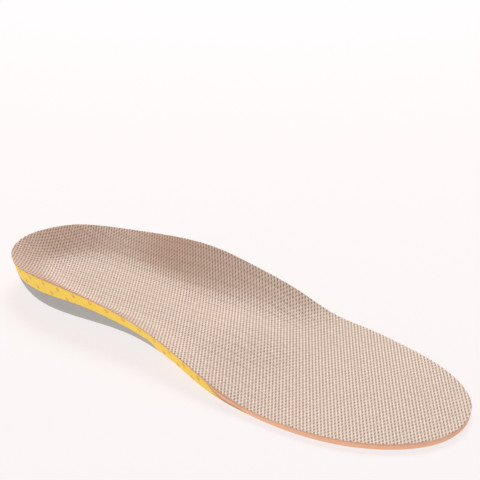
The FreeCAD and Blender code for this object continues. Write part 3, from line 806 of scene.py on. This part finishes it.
def shell_th(P):
    x = P[:, 0]
    return mix(0.85, 3.2, smooth(112, 96, x))


holes = windows + [pad_loop]
loops = [shell_loop] + holes
rings_s = []
for n, l in enumerate(loops):
    for d in (0.07, 0.18, 0.34):
        rings_s.append(inset(l, d, hole=n > 0))
marks_c = open_curve(MARKS, 0.35)
step_c = open_curve(STEP, 0.35)
groove_c = open_curve(GROOVE, 0.35)
hs = 1.15 * FINE
coarse = hex_points([inset(shell_loop, 0.6)] + [inset(l, 0.6, True) for l in holes], hs, 0)
fine = hex_points([inset(shell_loop, 0.6)] + [inset(l, 0.6, True) for l in holes], 0.36 * FINE, 0)
dm, ds, dg = dist_to(fine, marks_c, False), dist_to(fine, step_c, False), dist_to(fine, groove_c, False)
fine = fine[(dm < 2.6) | (ds < 1.0) | (dg < 1.6)]
ringpts = np.vstack(rings_s + loops)
fine = thin(fine, ringpts, 0.22)
coarse = thin(coarse, np.vstack([ringpts]), 0.5 * hs)
coarse = thin(coarse, fine, 0.7 * hs) if len(fine) else coarse
UV, F = mesh_domain(loops, np.vstack([fine, coarse]), rings_s)
P = outer(UV)
N3 = vertex_normals(P, F)
N3 *= -1.0 if N3[:, 2].mean() > 0 else 1.0             # outwards
# distance in from the nearest edge, by construction of the rows
nl = sum(len(l) for l in loops)
e_in = np.full(len(UV), 9.0)
e_in[:nl] = 0
k = nl
for l in loops:
    for d in (0.07, 0.18, 0.34):
        e_in[k:k + len(l)] = d
        k += len(l)
rad = 0.34
round_ = rad - np.sqrt(np.maximum(rad * rad - np.maximum(rad - e_in, 0) ** 2, 0))
d_m, d_s, d_g = dist_to(UV, marks_c, False), dist_to(UV, step_c, False), dist_to(UV, groove_c, False)
# arc length along the row of marks
am = np.r_[0, np.cumsum(np.hypot(*np.diff(marks_c, axis=0).T))]
near_i = np.array([np.hypot(*(marks_c - p).T).argmin() for p in UV[d_m < 3]]) if (d_m < 3).any() else np.array([], int)
sm_ = np.zeros(len(UV))
sm_[d_m < 3] = am[near_i]
BARS = [2.2, 4.3, 6.4, 8.5, 11.8, 13.9, 16.0, 18.1, 20.2, 23.5, 25.6, 27.7, 29.8, 31.9, 34.0, 36.1, 39.4, 41.5, 43.6, 45.7, 47.8, 49.9]
mark = np.zeros(len(UV))
for b in BARS:
    mark = np.maximum(mark, smooth(0.72, 0.42, np.abs(sm_ - b)) * smooth(1.75, 1.45, d_m))
mark *= (d_m < 3)
disp = -round_ + 0.28 * mark - 0.55 * smooth(0.95, 0.6, d_g) - 0.20 * np.exp(-(d_s / 0.32) ** 2)
Po = P + N3 * disp[:, None]
th = shell_th(P)
rr_f, rr_l = unplan(UV)
wallness = np.where(rr_f >= 0, smooth(0, 6, rr_l), 0)
th = mix(th, np.minimum(th, 2.0), wallness)
Pi = P - N3 * th[:, None]
nO = len(UV)
# painted shade mask: along the walls of the groove and along the step line
crease_shade = np.maximum(smooth(1.15, 0.95, d_g) * smooth(0.5, 0.75, d_g), np.exp(-(d_s / 0.35) ** 2))
allV = np.vstack([Po, Pi])
parts = [F[:, ::-1], F + nO]
k = 0
for l in loops:
    ids = k + np.arange(len(l))
    parts.append(strip(ids, ids + nO))
    k += len(l)
allF = np.vstack(parts)
# consistent winding: walls follow the outer face's border edges
def orient(F_out, V, strips):
    """Turns each wall strip so that its shared edges run opposite to the outer face's."""
    e = set(map(tuple, np.vstack([F_out[:, [0, 1]], F_out[:, [1, 2]], F_out[:, [2, 0]]])))
    fixed_ = []
    for s in strips:
        a, b = s[0][0], s[len(s) // 2][2]
        top = [(t[i], t[(i + 1) % 3]) for t in s for i in range(3)]
        same = sum((x, y) in e for x, y in top)
        opp = sum((y, x) in e for x, y in top)
        fixed_.append(s if opp >= same else s[:, ::-1])
    return fixed_


outF, inF = F[:, ::-1], F + nO
allF = np.vstack([outF, inF] + orient(outF, allV, parts[2:]))
mk = np.r_[mark, np.zeros(nO)]
cr = np.r_[crease_shade, np.zeros(nO)]
# floor of the recess for the heel pad: a closed plate
pl_o = inset(pad_loop, -0.8)
pl_pts = thin(hex_points([inset(pl_o, 1.5)], 4.0, 0), pl_o, 2.0)
U2, F2 = mesh_domain([pl_o], pl_pts)
z1, z2 = PAD_RECESS, 3.0
W2 = np.vstack([np.c_[U2, np.full(len(U2), z1)], np.c_[U2, np.full(len(U2), z2)]])
ids = np.arange(len(pl_o))
G2o, G2i = F2[:, ::-1], F2 + len(U2)
G2 = np.vstack([G2o, G2i] + orient(G2o, W2, [strip(ids, ids + len(U2))]))
allF = flip_out(allV, allF)
G2 = flip_out(W2, G2)
base = len(allV)
allV = np.vstack([allV, W2])
allF = np.vstack([allF, G2 + base])
shell_pat = np.vstack([UV, UV, U2, U2])
shell = make("arch_shell_moulded", allV, allF,
             {"pat": np.c_[shell_pat, allV[:, 2]], "mark": np.r_[mk, np.zeros(len(W2))], "crease_shade": np.r_[cr, np.zeros(len(W2))]}, 50)
print("shell", len(allV), len(allF))

# ---------------------------------------------------------------- perforated cushion
ok = np.nonzero(~ahead)[0]
# the samples behind the flex line run from the lateral side round the heel to the medial side
start_k = [i for i in ok if ((i - 1) % NT) not in set(ok)][0]
order = [(start_k + i) % NT for i in range(len(ok))]
c_ell = ell_ct[order]
c_loop_wall = plan(np.array(order, float), c_ell - 0.02)
p_end, p_start = c_loop_wall[-1], c_loop_wall[0]
n_line = max(4, int(np.linalg.norm(p_end - p_start) / 0.6))
line_pts = p_end + (p_start - p_end) * (np.arange(1, n_line) / n_line)[:, None]
cush_loop = np.vstack([c_loop_wall, line_pts])
n_cl = len(cush_loop)
ring_c = [inset(cush_loop, 0.10), inset(cush_loop, 0.25)]
s_in, s_out = inset(shell_loop, 0.30), inset(shell_loop, -0.10)
near_flex = lambda q: flex_coords(q)[0] < -0.4
fixed_rows = [s_in, s_out]
hc = 0.45 * FINE
cand = hex_points([inset(cush_loop, 0.4)], hc, 0)
in_shell = even_odd([inset(shell_loop, 0.8)], cand)
in_win = np.zeros(len(cand), bool)
for l in windows:
    g = inset(l, -0.8, hole=False) if signed(l) > 0 else inset(l, -0.8)
    box_lo, box_hi = g.min(0), g.max(0)
    m = ((cand > box_lo) & (cand < box_hi)).all(1)
    idx = np.nonzero(m)[0]
    in_win[idx] |= even_odd([g], cand[idx])
vis = cand[~in_shell | in_win]
hid = hex_points([inset(shell_loop, 1.0)], 2.4, 0)
vis = thin(vis, np.vstack([cush_loop] + ring_c + fixed_rows), 0.6 * hc)
hid = thin(hid, vis, 1.3)
hid = thin(hid, s_in, 1.2)
UV, F = mesh_domain([cush_loop], np.vstack([vis, hid]), ring_c + fixed_rows)
fc, lc = unplan(UV)
P = outer(UV, (fc, lc))
N3 = vertex_normals(P, F)
N3 *= -1.0 if N3[:, 2].mean() > 0 else 1.0
under = even_odd([inset(shell_loop, 0.15)], UV)
a_c, b_c = flex_coords(UV)
# perforations: staggered lattice across the ball and through the windows, and rows that follow the rim on the walls
LONG, ROW = 10.7, 5.3
origin = np.array([194.3, 4.5])


def lattice_centres():
    out = []
    for j in range(-34, 6):
        for i in range(-9, 10):
            c = origin + AX * LONG * (i + (0.5 if j % 2 else 0)) + NO * ROW * j
            out.append(c)
    return np.array(out)


L = lattice_centres()
la, _ = flex_coords(L)
L = L[(la < -2.5)]
lf, ll = unplan(L)
inner_ok = (lf < 0)
L1 = L[inner_ok]
L1d = np.tile(AX * 0.35 + NO * 0.0, (len(L1), 1))
ang = np.full(len(L1), math.atan2(-0.909, 0.418) + math.pi)
# wall rows
arc_total = ARC[-1]
walls, wall_ang = [], []
for row, ells in enumerate((-2.0, -6.2, -10.6, -15.0)):
    n = int(arc_total / 10.4)
    for i in range(n):
        s = (i + (0.5 if row % 2 else 0.0)) * arc_total / n
        f = np.interp(s, ARC, np.arange(NT + 1))
        f = f % NT
        top = float(at(ell_ct, np.array([f]))[0])
        e = top + ells
        if e > 0.6 and not (-0.4 < e - float(at(ell_sh, np.array([f]))[0]) < 1.25):
            walls.append(plan(np.array([f]), np.array([e]))[0])
            t2 = at(TAN, np.array([f]))[0]
            n2 = at(NRM, np.array([f]))[0]
            d = -n2 * 0.9 + t2 * 0.42
            wall_ang.append(math.atan2(d[1], d[0]))
L2 = np.array(walls)
keep = flex_coords(L2)[0] < -3.0
L2, wall_ang = L2[keep], np.array(wall_ang)[keep]
CEN, ANG = np.vstack([L1, L2]), np.r_[ang, wall_ang]
dent = np.full(len(UV), 9.0)
kd = KDTree(len(CEN))
for i, c in enumerate(CEN):
    kd.insert((c[0], c[1], 0), i)
kd.balance()
for i in range(len(UV)):
    _, j, d = kd.find((UV[i, 0], UV[i, 1], 0))
    if d < 2.2:
        v = UV[i] - CEN[j]
        ca, sa = math.cos(ANG[j]), math.sin(ANG[j])
        u1, u2 = v[0] * ca + v[1] * sa, -v[0] * sa + v[1] * ca
        a1, a2 = (1.22, 0.78) if j < len(L1) else (0.95, 0.72)
        dent[i] = math.hypot(u1 / a1, u2 / a2)
win_d = np.full(len(UV), -1.0)
for l in windows:
    box_lo, box_hi = l.min(0) - 0.5, l.max(0) + 0.5
    idx = np.nonzero(((UV > box_lo) & (UV < box_hi)).all(1))[0]
    inn = idx[even_odd([l], UV[idx])]
    win_d[inn] = dist_to(UV[inn], l)
bulge = np.where(win_d > 0, 0.55 * (1 - np.exp(-(np.maximum(win_d, 0) / 2.2) ** 1.2)), 0.0)
wave = smooth(0.46, 0.10, wave_lines(UV)) * smooth(-9.5, -6.5, a_c) * (a_c < -0.3) * (fc < 0)
hole = smooth(1.15, 0.8, dent)
disp = -0.6 * smooth(1.25, 0.75, dent) - 0.16 * wave
e_c = np.full(len(UV), 9.0)
e_c[:n_cl] = 0
e_c[n_cl:2 * n_cl] = 0.10
e_c[2 * n_cl:3 * n_cl] = 0.25
disp -= np.where(e_c < 1, 0.25 - np.sqrt(np.maximum(0.25 ** 2 - (0.25 - np.minimum(e_c, 0.25)) ** 2, 0)), 0) * 0.6
th_c = shell_th(P) + 0.06
wall_c = np.where(fc >= 0, smooth(0, 6, lc), 0)
th_c = mix(th_c, np.minimum(th_c, 2.0) + 0.06, wall_c)
disp = np.where(under, -th_c + bulge + np.where(win_d > 0, disp, 0), disp)
Po = P + N3 * disp[:, None]
# the corner at the wall's top stays on the wall
nO = len(Po)
top_plan = Po[:n_cl, :2].copy()
tp = thin(hex_points([inset(top_plan, 1.2)], 2.4, 0), top_plan, 1.3)
Ut, Ft = mesh_domain([top_plan], tp)
Zt = interface(Ut, ring(Ut)) - 0.04
front_z = interface(Po[:n_cl, :2], ring(Po[:n_cl, :2])) - 0.04
Vt = np.c_[Ut, Zt]
n_wall = len(c_loop_wall)
row2 = Po[:n_cl].copy()
row2[n_wall:, 2] = np.maximum(front_z[n_wall:], row2[n_wall:, 2] + 0.3)
row2[:n_wall, 2] += 0.02
allV = np.vstack([Po, row2, Vt[n_cl:]])
mp = np.r_[nO + np.arange(n_cl), nO + n_cl + np.arange(len(Vt) - n_cl)]
outF = F[:, ::-1]
st = orient(outF, allV, [strip(np.arange(n_cl), nO + np.arange(n_cl))])[0]
allF = flip_out(allV, np.vstack([outF, st, mp[Ft]]))
extra = len(allV) - nO
pz = np.zeros(extra)
wv = np.r_[wave, pz]
dn = np.r_[np.where(win_d > 0, hole, np.where(under, 0, hole)), pz]
# painted shade mask: a ring round the rim of each perforation's dent
rim_d = np.r_[smooth(0.55, 0.95, dent) * smooth(1.5, 1.15, dent), pz]
cpat = np.vstack([UV, allV[nO:, :2]])
# painted shade mask: strongest at the edge of each window in the shell, fading within 1.2 mm
window_edge_shade = np.r_[np.where(win_d > 0, smooth(1.2, 0.0, win_d), 0), pz]
cushion = make("perforated_cushion_soft", allV, allF, {"pat": cpat, "dent": dn, "dent_rim_shade": rim_d, "wave": wv, "deep": window_edge_shade,
                                                             "side": np.r_[smooth(0.5, 4.0, lc) * (fc >= 0), pz]})
print("cushion", len(allV), len(allF))

# ---------------------------------------------------------------- heel pad
gel_loop = resample(inset(pad_loop, PAD_CLEAR), 0.4)
hg = 0.36 * FINE
gr_ = [inset(gel_loop, 0.10), inset(gel_loop, 0.28)]
gp = thin(hex_points([inset(gel_loop, 0.45)], hg, 0), np.vstack([gel_loop] + gr_), 0.6 * hg)
UV, F = mesh_domain([gel_loop], gp, gr_)
M2 = np.linalg.inv(np.c_[NUB_A, NUB_B])
rel = UV - np.array([63.0, -2.5])
ij = np.floor(rel @ M2.T)
best = np.full(len(UV), 9.0)
for di in (-1, 0, 1, 2):
    for dj in (-1, 0, 1, 2):
        c = (ij + (di, dj)) @ np.c_[NUB_A, NUB_B].T
        best = np.minimum(best, np.hypot(*(rel - c).T))
e_g = dist_to(UV, gel_loop)
nub = np.where(best < 2.55, np.maximum(0, 1 - (best / 2.55) ** 2.6), 0) ** 0.72
web = PAD_RECESS - 0.1 - PAD_BASE
z = web - 1.06 * nub * smooth(-0.2, 0.7, e_g) + np.where(e_g < 0.28, 0.28 - np.sqrt(np.maximum(0.28 ** 2 - (0.28 - e_g) ** 2, 0)), 0)
Vg = np.c_[UV, z]
top = np.c_[gel_loop, np.full(len(gel_loop), PAD_RECESS - 0.05)]
tpp = thin(hex_points([inset(gel_loop, 1.2)], 3.0, 0), gel_loop, 1.6)
Ut, Ft = mesh_domain([gel_loop], tpp)
n0, ng = len(Vg), len(gel_loop)
allV = np.vstack([Vg, np.c_[Ut, np.full(len(Ut), PAD_RECESS - 0.05)]])
outF = F[:, ::-1]
allF = flip_out(allV, np.vstack([outF, orient(outF, allV, [strip(np.arange(ng), n0 + np.arange(ng))])[0], Ft + n0]))
gel = make("heel_gel_pad_soft", allV, allF, {"pat": np.c_[allV[:, :2], allV[:, 2]], "nub": np.r_[nub, np.zeros(len(Ut))]})
print("gel", len(allV), len(allF))


# ---------------------------------------------------------------- materials
def lin(c):
    """sRGB 0 to 255 to linear."""
    out = []
    for v in c:
        v = v / 255.0
        out.append(v / 12.92 if v <= 0.04045 else ((v + 0.055) / 1.055) ** 2.4)
    return tuple(out) + (1.0,)


class Mat:
    """A small helper that builds a node tree."""

    def __init__(self, name, rough, metallic=0.0):
        self.m = bpy.data.materials.new(name)
        self.m.use_nodes = True
        self.t = self.m.node_tree
        self.t.nodes.clear()
        self.out = self.t.nodes.new("ShaderNodeOutputMaterial")
        self.b = self.t.nodes.new("ShaderNodeBsdfPrincipled")
        self.t.links.new(self.b.outputs["BSDF"], self.out.inputs["Surface"])
        self.b.inputs["Roughness"].default_value = rough
        self.b.inputs["Metallic"].default_value = metallic

    def put(self, v, socket):
        if isinstance(v, bpy.types.NodeSocket):
            self.t.links.new(v, socket)
        else:
            socket.default_value = v

    def attr(self, name, vec=False):
        n = self.t.nodes.new("ShaderNodeAttribute")
        n.attribute_name = name
        return n.outputs["Vector"] if vec else n.outputs["Fac"]

    def math(self, op, a, b=0.0, c=None, clamp=False):
        n = self.t.nodes.new("ShaderNodeMath")
        n.operation = op
        n.use_clamp = clamp
        self.put(a, n.inputs[0])
        self.put(b, n.inputs[1])
        if c is not None:
            self.put(c, n.inputs[2])
        return n.outputs[0]

    def split(self, v):
        n = self.t.nodes.new("ShaderNodeSeparateXYZ")
        self.put(v, n.inputs[0])
        return n.outputs

    def dot(self, v, d):
        n = self.t.nodes.new("ShaderNodeVectorMath")
        n.operation = "DOT_PRODUCT"
        self.put(v, n.inputs[0])
        n.inputs[1].default_value = (*d, 0.0) if len(d) == 2 else d
        return n.outputs["Value"]

    def noise(self, v, scale, detail=2.0, rough=0.5):
        n = self.t.nodes.new("ShaderNodeTexNoise")
        n.noise_dimensions = "3D"
        self.put(v, n.inputs["Vector"])
        n.inputs["Scale"].default_value = scale
        n.inputs["Detail"].default_value = detail
        n.inputs["Roughness"].default_value = rough
        return n.outputs["Fac"]

    def remap(self, v, a, b, c=0.0, d=1.0):
        n = self.t.nodes.new("ShaderNodeMapRange")
        n.interpolation_type = "SMOOTHSTEP"
        self.put(v, n.inputs["Value"])
        n.inputs["From Min"].default_value = a
        n.inputs["From Max"].default_value = b
        n.inputs["To Min"].default_value = c
        n.inputs["To Max"].default_value = d
        return n.outputs["Result"]

    def color(self, f, a, b):
        n = self.t.nodes.new("ShaderNodeMix")
        n.data_type = "RGBA"
        n.clamp_factor = True
        self.put(f, n.inputs[0])
        self.put(a, n.inputs[6])
        self.put(b, n.inputs[7])
        return n.outputs[2]

    def scale(self, c, f):
        """Colour times a factor."""
        n = self.t.nodes.new("ShaderNodeMix")
        n.data_type = "RGBA"
        n.blend_type = "MULTIPLY"
        n.inputs[0].default_value = 1.0
        self.put(c, n.inputs[6])
        k = self.t.nodes.new("ShaderNodeCombineColor")
        for i in range(3):
            self.put(f, k.inputs[i])
        self.t.links.new(k.outputs[0], n.inputs[7])
        return n.outputs[2]

    def base(self, c):
        self.put(c, self.b.inputs["Base Color"])

    def bump(self, height, dist, strength=1.0):
        n = self.t.nodes.new("ShaderNodeBump")
        n.inputs["Strength"].default_value = strength
        n.inputs["Distance"].default_value = dist / 1000.0
        self.put(height, n.inputs["Height"])
        self.t.links.new(n.outputs["Normal"], self.b.inputs["Normal"])


TAU = 2 * math.pi

# knitted cover: staggered stitches on a skewed lattice
L1v, L2v = np.array([0.87, 1.565]), np.array([1.163, -1.946])
REC = np.linalg.inv(np.c_[L1v, L2v])                 # rows give the two lattice coordinates


def knit(m, v):
    p, q = m.dot(v, REC[0]), m.dot(v, REC[1])
    cp = m.math("COSINE", m.math("MULTIPLY", p, TAU))
    cq = m.math("COSINE", m.math("MULTIPLY", q, TAU))
    cr = m.math("COSINE", m.math("MULTIPLY", m.math("SUBTRACT", p, q), TAU))
    return p, q, cp, cq, cr


def cover_material():
    m = Mat("knit_mesh", 0.86)
    v = m.attr("pat", True)
    p, q, cp, cq, cr = knit(m, v)
    big = m.noise(v, 0.035, 3.0)
    grain = m.noise(v, 0.9, 2.0)
    yarn = m.noise(v, 0.33, 2.0)
    # light cords between rows of small openings
    cord = m.remap(m.math("SUBTRACT", m.math("MULTIPLY", cr, 0.35), cp), -0.15, 1.05)
    hole = m.remap(m.math("ADD", m.math("MULTIPLY", cp, 0.62), m.math("MULTIPLY", cq, 0.50)), 0.10, 0.98)
    base = m.color(big, COVER_A, COVER_B)
    base = m.color(m.remap(yarn, 0.40, 0.75), base, COVER_C)
    c = m.color(m.math("MULTIPLY", cord, m.remap(grain, 0.25, 0.7, 0.45, 1.0)), base, COVER_LIGHT)
    c = m.color(m.math("MULTIPLY", hole, m.remap(yarn, 0.2, 0.8, 0.95, 0.70)), c, COVER_DARK)
    # faint darker lines along the knit's rows
    xyz = m.split(v)
    row = m.remap(m.math("COSINE", m.math("MULTIPLY", m.math("ADD", xyz[1], m.math("MULTIPLY", yarn, 0.5)), TAU / 5.2)), 0.78, 1.0)
    row = m.math("MULTIPLY", row, m.remap(xyz[0], 150.0, 205.0, 0.13, 0.02))
    c = m.scale(c, m.math("SUBTRACT", 1.0, row))
    c = m.scale(c, m.remap(grain, 0.2, 0.8, 0.93, 1.05))
    # painted shade: the bowl's sloping walls darker and more saturated, more at the heel than in the arch
    c = m.color(m.math("MULTIPLY", m.attr("painted_wall_shade"), m.remap(xyz[0], 55.0, 105.0, 0.92, 0.55)), c, COVER_WALL_SHADE)
    c = m.color(m.math("MULTIPLY", m.attr("edge"), 0.75), c, COVER_EDGE)
    m.base(c)
    m.put(m.remap(grain, 0.2, 0.8, 0.80, 0.95), m.b.inputs["Roughness"])
    m.b.inputs["Sheen Weight"].default_value = 0.10
    m.b.inputs["Sheen Roughness"].default_value = 0.5
    m.b.inputs["Sheen Tint"].default_value = (1.0, 0.93, 0.88, 1.0)
    m.b.inputs["Specular IOR Level"].default_value = 0.2
    hgt = m.math("ADD", m.math("SUBTRACT", m.math("MULTIPLY", cord, 0.5), m.math("MULTIPLY", hole, 0.6)), m.math("MULTIPLY", grain, 0.25))
    m.bump(hgt, 0.30, 0.7)
    return m.m


COVER_A, COVER_B, COVER_C = lin((232, 204, 188)), lin((223, 195, 179)), lin((234, 209, 190))
COVER_DARK, COVER_LIGHT, COVER_EDGE = lin((146, 118, 101)), lin((255, 243, 229)), lin((252, 196, 150))
# colour of the painted shade on the bowl's walls
COVER_WALL_SHADE = lin((168, 114, 80))


def foam_material():
    m = Mat("soft_foam_peach", 0.78)
    v = m.attr("pat", True)
    g = m.attr("groove")
    s = m.attr("side")
    big = m.noise(v, 0.05, 3.0)
    grain = m.noise(v, 1.6, 3.0, 0.6)
    c = m.color(big, lin((250, 205, 180)), lin((241, 194, 168)))
    c = m.color(m.remap(grain, 0.35, 0.75), c, lin((253, 214, 192)))
    c = m.color(m.math("MULTIPLY", s, 0.85), c, lin((246, 186, 150)))
    # painted shade: the wavy grooves of the underside darker brown
    c = m.color(m.remap(g, 0.25, 0.95), c, lin((190, 124, 84)))
    m.base(c)
    m.put(m.remap(grain, 0.2, 0.8, 0.70, 0.86), m.b.inputs["Roughness"])
    m.b.inputs["Specular IOR Level"].default_value = 0.3
    m.bump(m.math("ADD", grain, m.math("MULTIPLY", m.noise(v, 4.0, 2.0), 0.5)), 0.05, 0.6)
    return m.m


def cushion_material():
    m = Mat("perforated_foam_yellow", 0.6)
    v = m.attr("pat", True)
    hole, dent_rim_shade, wave, deep, side = m.attr("dent"), m.attr("dent_rim_shade"), m.attr("wave"), m.attr("deep"), m.attr("side")
    big = m.noise(v, 0.04, 3.0)
    mott = m.noise(v, 0.35, 3.0, 0.6)
    grain = m.noise(v, 1.4, 3.0, 0.6)
    rib_n = np.array([0.909, 0.418]) / 1.15
    rib = m.math("COSINE", m.math("MULTIPLY", m.dot(v, rib_n), TAU))
    rib = m.math("MULTIPLY", rib, m.math("SUBTRACT", 1.0, m.math("MULTIPLY", side, 0.72)))
    rib2 = m.math("COSINE", m.math("MULTIPLY", m.dot(v, np.array([-0.30, 0.954]) / 1.7), TAU))
    c = m.color(big, lin((255, 214, 82)), lin((255, 208, 70)))
    c = m.color(m.remap(rib, 0.2, 1.0, 0.0, 0.5), c, lin((255, 228, 122)))
    c = m.color(m.remap(rib, -0.3, -1.0, 0.0, 0.45), c, lin((240, 190, 48)))
    c = m.color(m.math("MULTIPLY", side, m.remap(mott, 0.35, 0.65, 0.25, 0.8)), c, lin((255, 218, 96)))
    # painted shade: the embossed wave lines darker yellow
    c = m.color(m.math("MULTIPLY", wave, 0.55), c, lin((214, 152, 30)))
    # painted shade: dark brown round the rim of each dent
    c = m.color(m.math("MULTIPLY", dent_rim_shade, 0.55), c, lin((206, 146, 58)))
    c = m.color(m.remap(hole, 0.3, 0.9), c, lin((248, 202, 162)))
    # painted shade: the yellow darker along the edges of the shell's windows
    c = m.color(m.math("MULTIPLY", deep, 0.30), c, lin((206, 148, 26)))
    m.base(c)
    m.put(m.remap(grain, 0.2, 0.8, 0.5, 0.68), m.b.inputs["Roughness"])
    m.b.inputs["Specular IOR Level"].default_value = 0.3
    m.bump(m.math("ADD", m.math("ADD", m.math("MULTIPLY", rib, 0.5), m.math("MULTIPLY", rib2, 0.10)),
                  m.math("MULTIPLY", grain, 0.25)), 0.14, 0.8)
    return m.m


def shell_material():
    m = Mat("matte_plastic_grey", 0.55)
    v = m.attr("pat", True)
    mark, crease_shade = m.attr("mark"), m.attr("crease_shade")
    big = m.noise(v, 0.03, 3.0)
    fine_ = m.noise(v, 2.6, 3.0, 0.65)
    c = m.color(big, lin((175, 174, 170)), lin((163, 162, 158)))
    c = m.color(m.remap(fine_, 0.35, 0.8), c, lin((182, 181, 177)))
    c = m.color(m.remap(fine_, 0.45, 0.2, 0.0, 0.5), c, lin((152, 151, 147)))
    # painted shade: dark grey in the groove and along the step
    c = m.color(m.math("MULTIPLY", crease_shade, 0.45), c, lin((112, 111, 108)))
    # painted shadow: near-black outlines round the edges of the raised marks
    edge = m.math("MULTIPLY", m.remap(mark, 0.05, 0.45), m.remap(mark, 0.98, 0.6))
    c = m.color(m.math("MULTIPLY", edge, 0.9), c, lin((52, 50, 48)))
    m.base(c)
    m.put(m.remap(fine_, 0.2, 0.8, 0.5, 0.66), m.b.inputs["Roughness"])
    m.b.inputs["Specular IOR Level"].default_value = 0.4
    m.bump(m.math("ADD", fine_, m.math("MULTIPLY", m.noise(v, 7.0, 2.0), 0.5)), 0.05, 0.5)
    return m.m


def gel_material():
    m = Mat("translucent_gel_green", 0.22)
    v = m.attr("pat", True)
    nub = m.attr("nub")
    n1 = m.noise(v, 0.35, 3.0)
    n2 = m.noise(v, 1.1, 3.0, 0.6)
    web = m.color(n1, lin((150, 222, 96)), lin((122, 210, 82)))
    # painted shade: the nubs' sides darker green than their tops and the web
    shaded_flank = m.color(n1, lin((44, 160, 40)), lin((22, 138, 40)))
    top = m.color(n1, lin((98, 206, 66)), lin((74, 190, 62)))
    c = m.color(m.remap(nub, 0.02, 0.35), web, shaded_flank)
    c = m.color(m.remap(nub, 0.62, 0.92), c, top)
    c = m.color(m.math("MULTIPLY", m.remap(n2, 0.58, 0.78), 0.7), c, lin((28, 150, 92)))
    c = m.color(m.math("MULTIPLY", m.remap(m.noise(v, 0.6, 2.0), 0.62, 0.72), 0.45), c, lin((120, 214, 176)))
    m.base(c)
    m.put(m.remap(n2, 0.3, 0.7, 0.15, 0.32), m.b.inputs["Roughness"])
    m.b.inputs["Specular IOR Level"].default_value = 0.6
    m.b.inputs["Subsurface Weight"].default_value = 0.25
    m.b.inputs["Subsurface Radius"].default_value = (0.3, 1.0, 0.3)
    m.b.inputs["Subsurface Scale"].default_value = 0.0015
    m.bump(n2, 0.10, 0.5)
    return m.m


def give(o, mat):
    o.data.materials.clear()
    o.data.materials.append(mat)


give(cover, cover_material())
give(foam, foam_material())
give(cushion, cushion_material())
give(shell, shell_material())
give(gel, gel_material())

# ---------------------------------------------------------------- what follows what
for o in (cover, foam, cushion):
    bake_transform(o)
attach(shell, "rearfoot")
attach(gel, "rearfoot")
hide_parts("top_cover_rearfoot", "top_cover_forefoot")
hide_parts("foam_base_rearfoot", "foam_base_forefoot")
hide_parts("perforated_cushion")
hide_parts("arch_shell")
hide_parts("heel_gel_pad")

# ---------------------------------------------------------------- floor, light and camera
me = bpy.data.meshes.new("floor")
s = 3.0
me.from_pydata([(-s, -s, -0.0002), (s, -s, -0.0002), (s, s, -0.0002), (-s, s, -0.0002)], [], [(0, 1, 2, 3)])
floor = bpy.data.objects.new("floor", me)
bpy.context.scene.collection.objects.link(floor)
fm = Mat("floor_paper", 0.9)
fm.b.inputs["Specular IOR Level"].default_value = 0.1
geo = fm.t.nodes.new("ShaderNodeNewGeometry")
fn = fm.noise(geo.outputs["Position"], 2.0, 2.0)
fm.base(fm.color(fn, (0.17, 0.162, 0.162, 1), (0.18, 0.171, 0.171, 1)))
fm.b.inputs["Emission Color"].default_value = (1.0, 0.947, 0.947, 1.0)    # a lit studio table: hardly any shadow shows
fm.b.inputs["Emission Strength"].default_value = 0.80
give(floor, fm.m)

scene = bpy.context.scene
scene.view_settings.view_transform = "Standard"
scene.view_settings.look = "None"
scene.view_settings.exposure = 0.0
scene.view_settings.gamma = 1.0
world = bpy.data.worlds.new("studio")
scene.world = world
world.use_nodes = True
bg = world.node_tree.nodes["Background"]
bg.inputs["Color"].default_value = (1.0, 0.965, 0.96, 1)
# the studio's paper carries on up behind the table, so that low views have a pale ground too
wt = world.node_tree
wc = wt.nodes.new("ShaderNodeTexCoord")
ws = wt.nodes.new("ShaderNodeSeparateXYZ")
wr = wt.nodes.new("ShaderNodeMapRange")
wt.links.new(wc.outputs["Generated"], ws.inputs["Vector"])
wt.links.new(ws.outputs["Z"], wr.inputs["Value"])
wr.interpolation_type = "SMOOTHSTEP"
for k, v in (("From Min", 0.14), ("From Max", 0.42), ("To Min", 0.95), ("To Max", 0.36)):
    wr.inputs[k].default_value = v
wt.links.new(wr.outputs["Result"], bg.inputs["Strength"])


def area(name, loc, target, size, power, color=(1, 1, 1)):
    d = bpy.data.lights.new(name, "AREA")
    d.shape = "DISK"
    d.size = size
    d.energy = power
    d.color = color
    o = bpy.data.objects.new(name, d)
    scene.collection.objects.link(o)
    o.location = loc
    o.rotation_mode = "QUATERNION"
    o.rotation_quaternion = (Vector(loc) - Vector(target)).to_track_quat("Z", "Y")
    return o


area("back_key", (-0.70, 1.10, 1.52), (0.0, 0.0, 0.0), 1.1, 31.0)
area("low_front", (-0.30, -1.50, 0.22), (-0.05, 0.0, 0.0), 1.0, 3.3)

cam_d = bpy.data.cameras.new("camera")
cam_d.sensor_width = 36.0
cam_d.lens = 82.73
cam_d.clip_start, cam_d.clip_end = 0.01, 50
cam = bpy.data.objects.new("camera", cam_d)
scene.collection.objects.link(cam)
right = Vector((0.83397728, 0.55113722, 0.02701218))
down = Vector((0.26483015, -0.35683244, -0.89584351))
fwd = Vector((-0.48409389, 0.75426677, -0.4435479))
rot = Matrix((right, -down, -fwd)).transposed()
cam.matrix_world = Matrix.Translation((0.261501, -0.392173, 0.289037)) @ rot.to_4x4()
scene.camera = cam
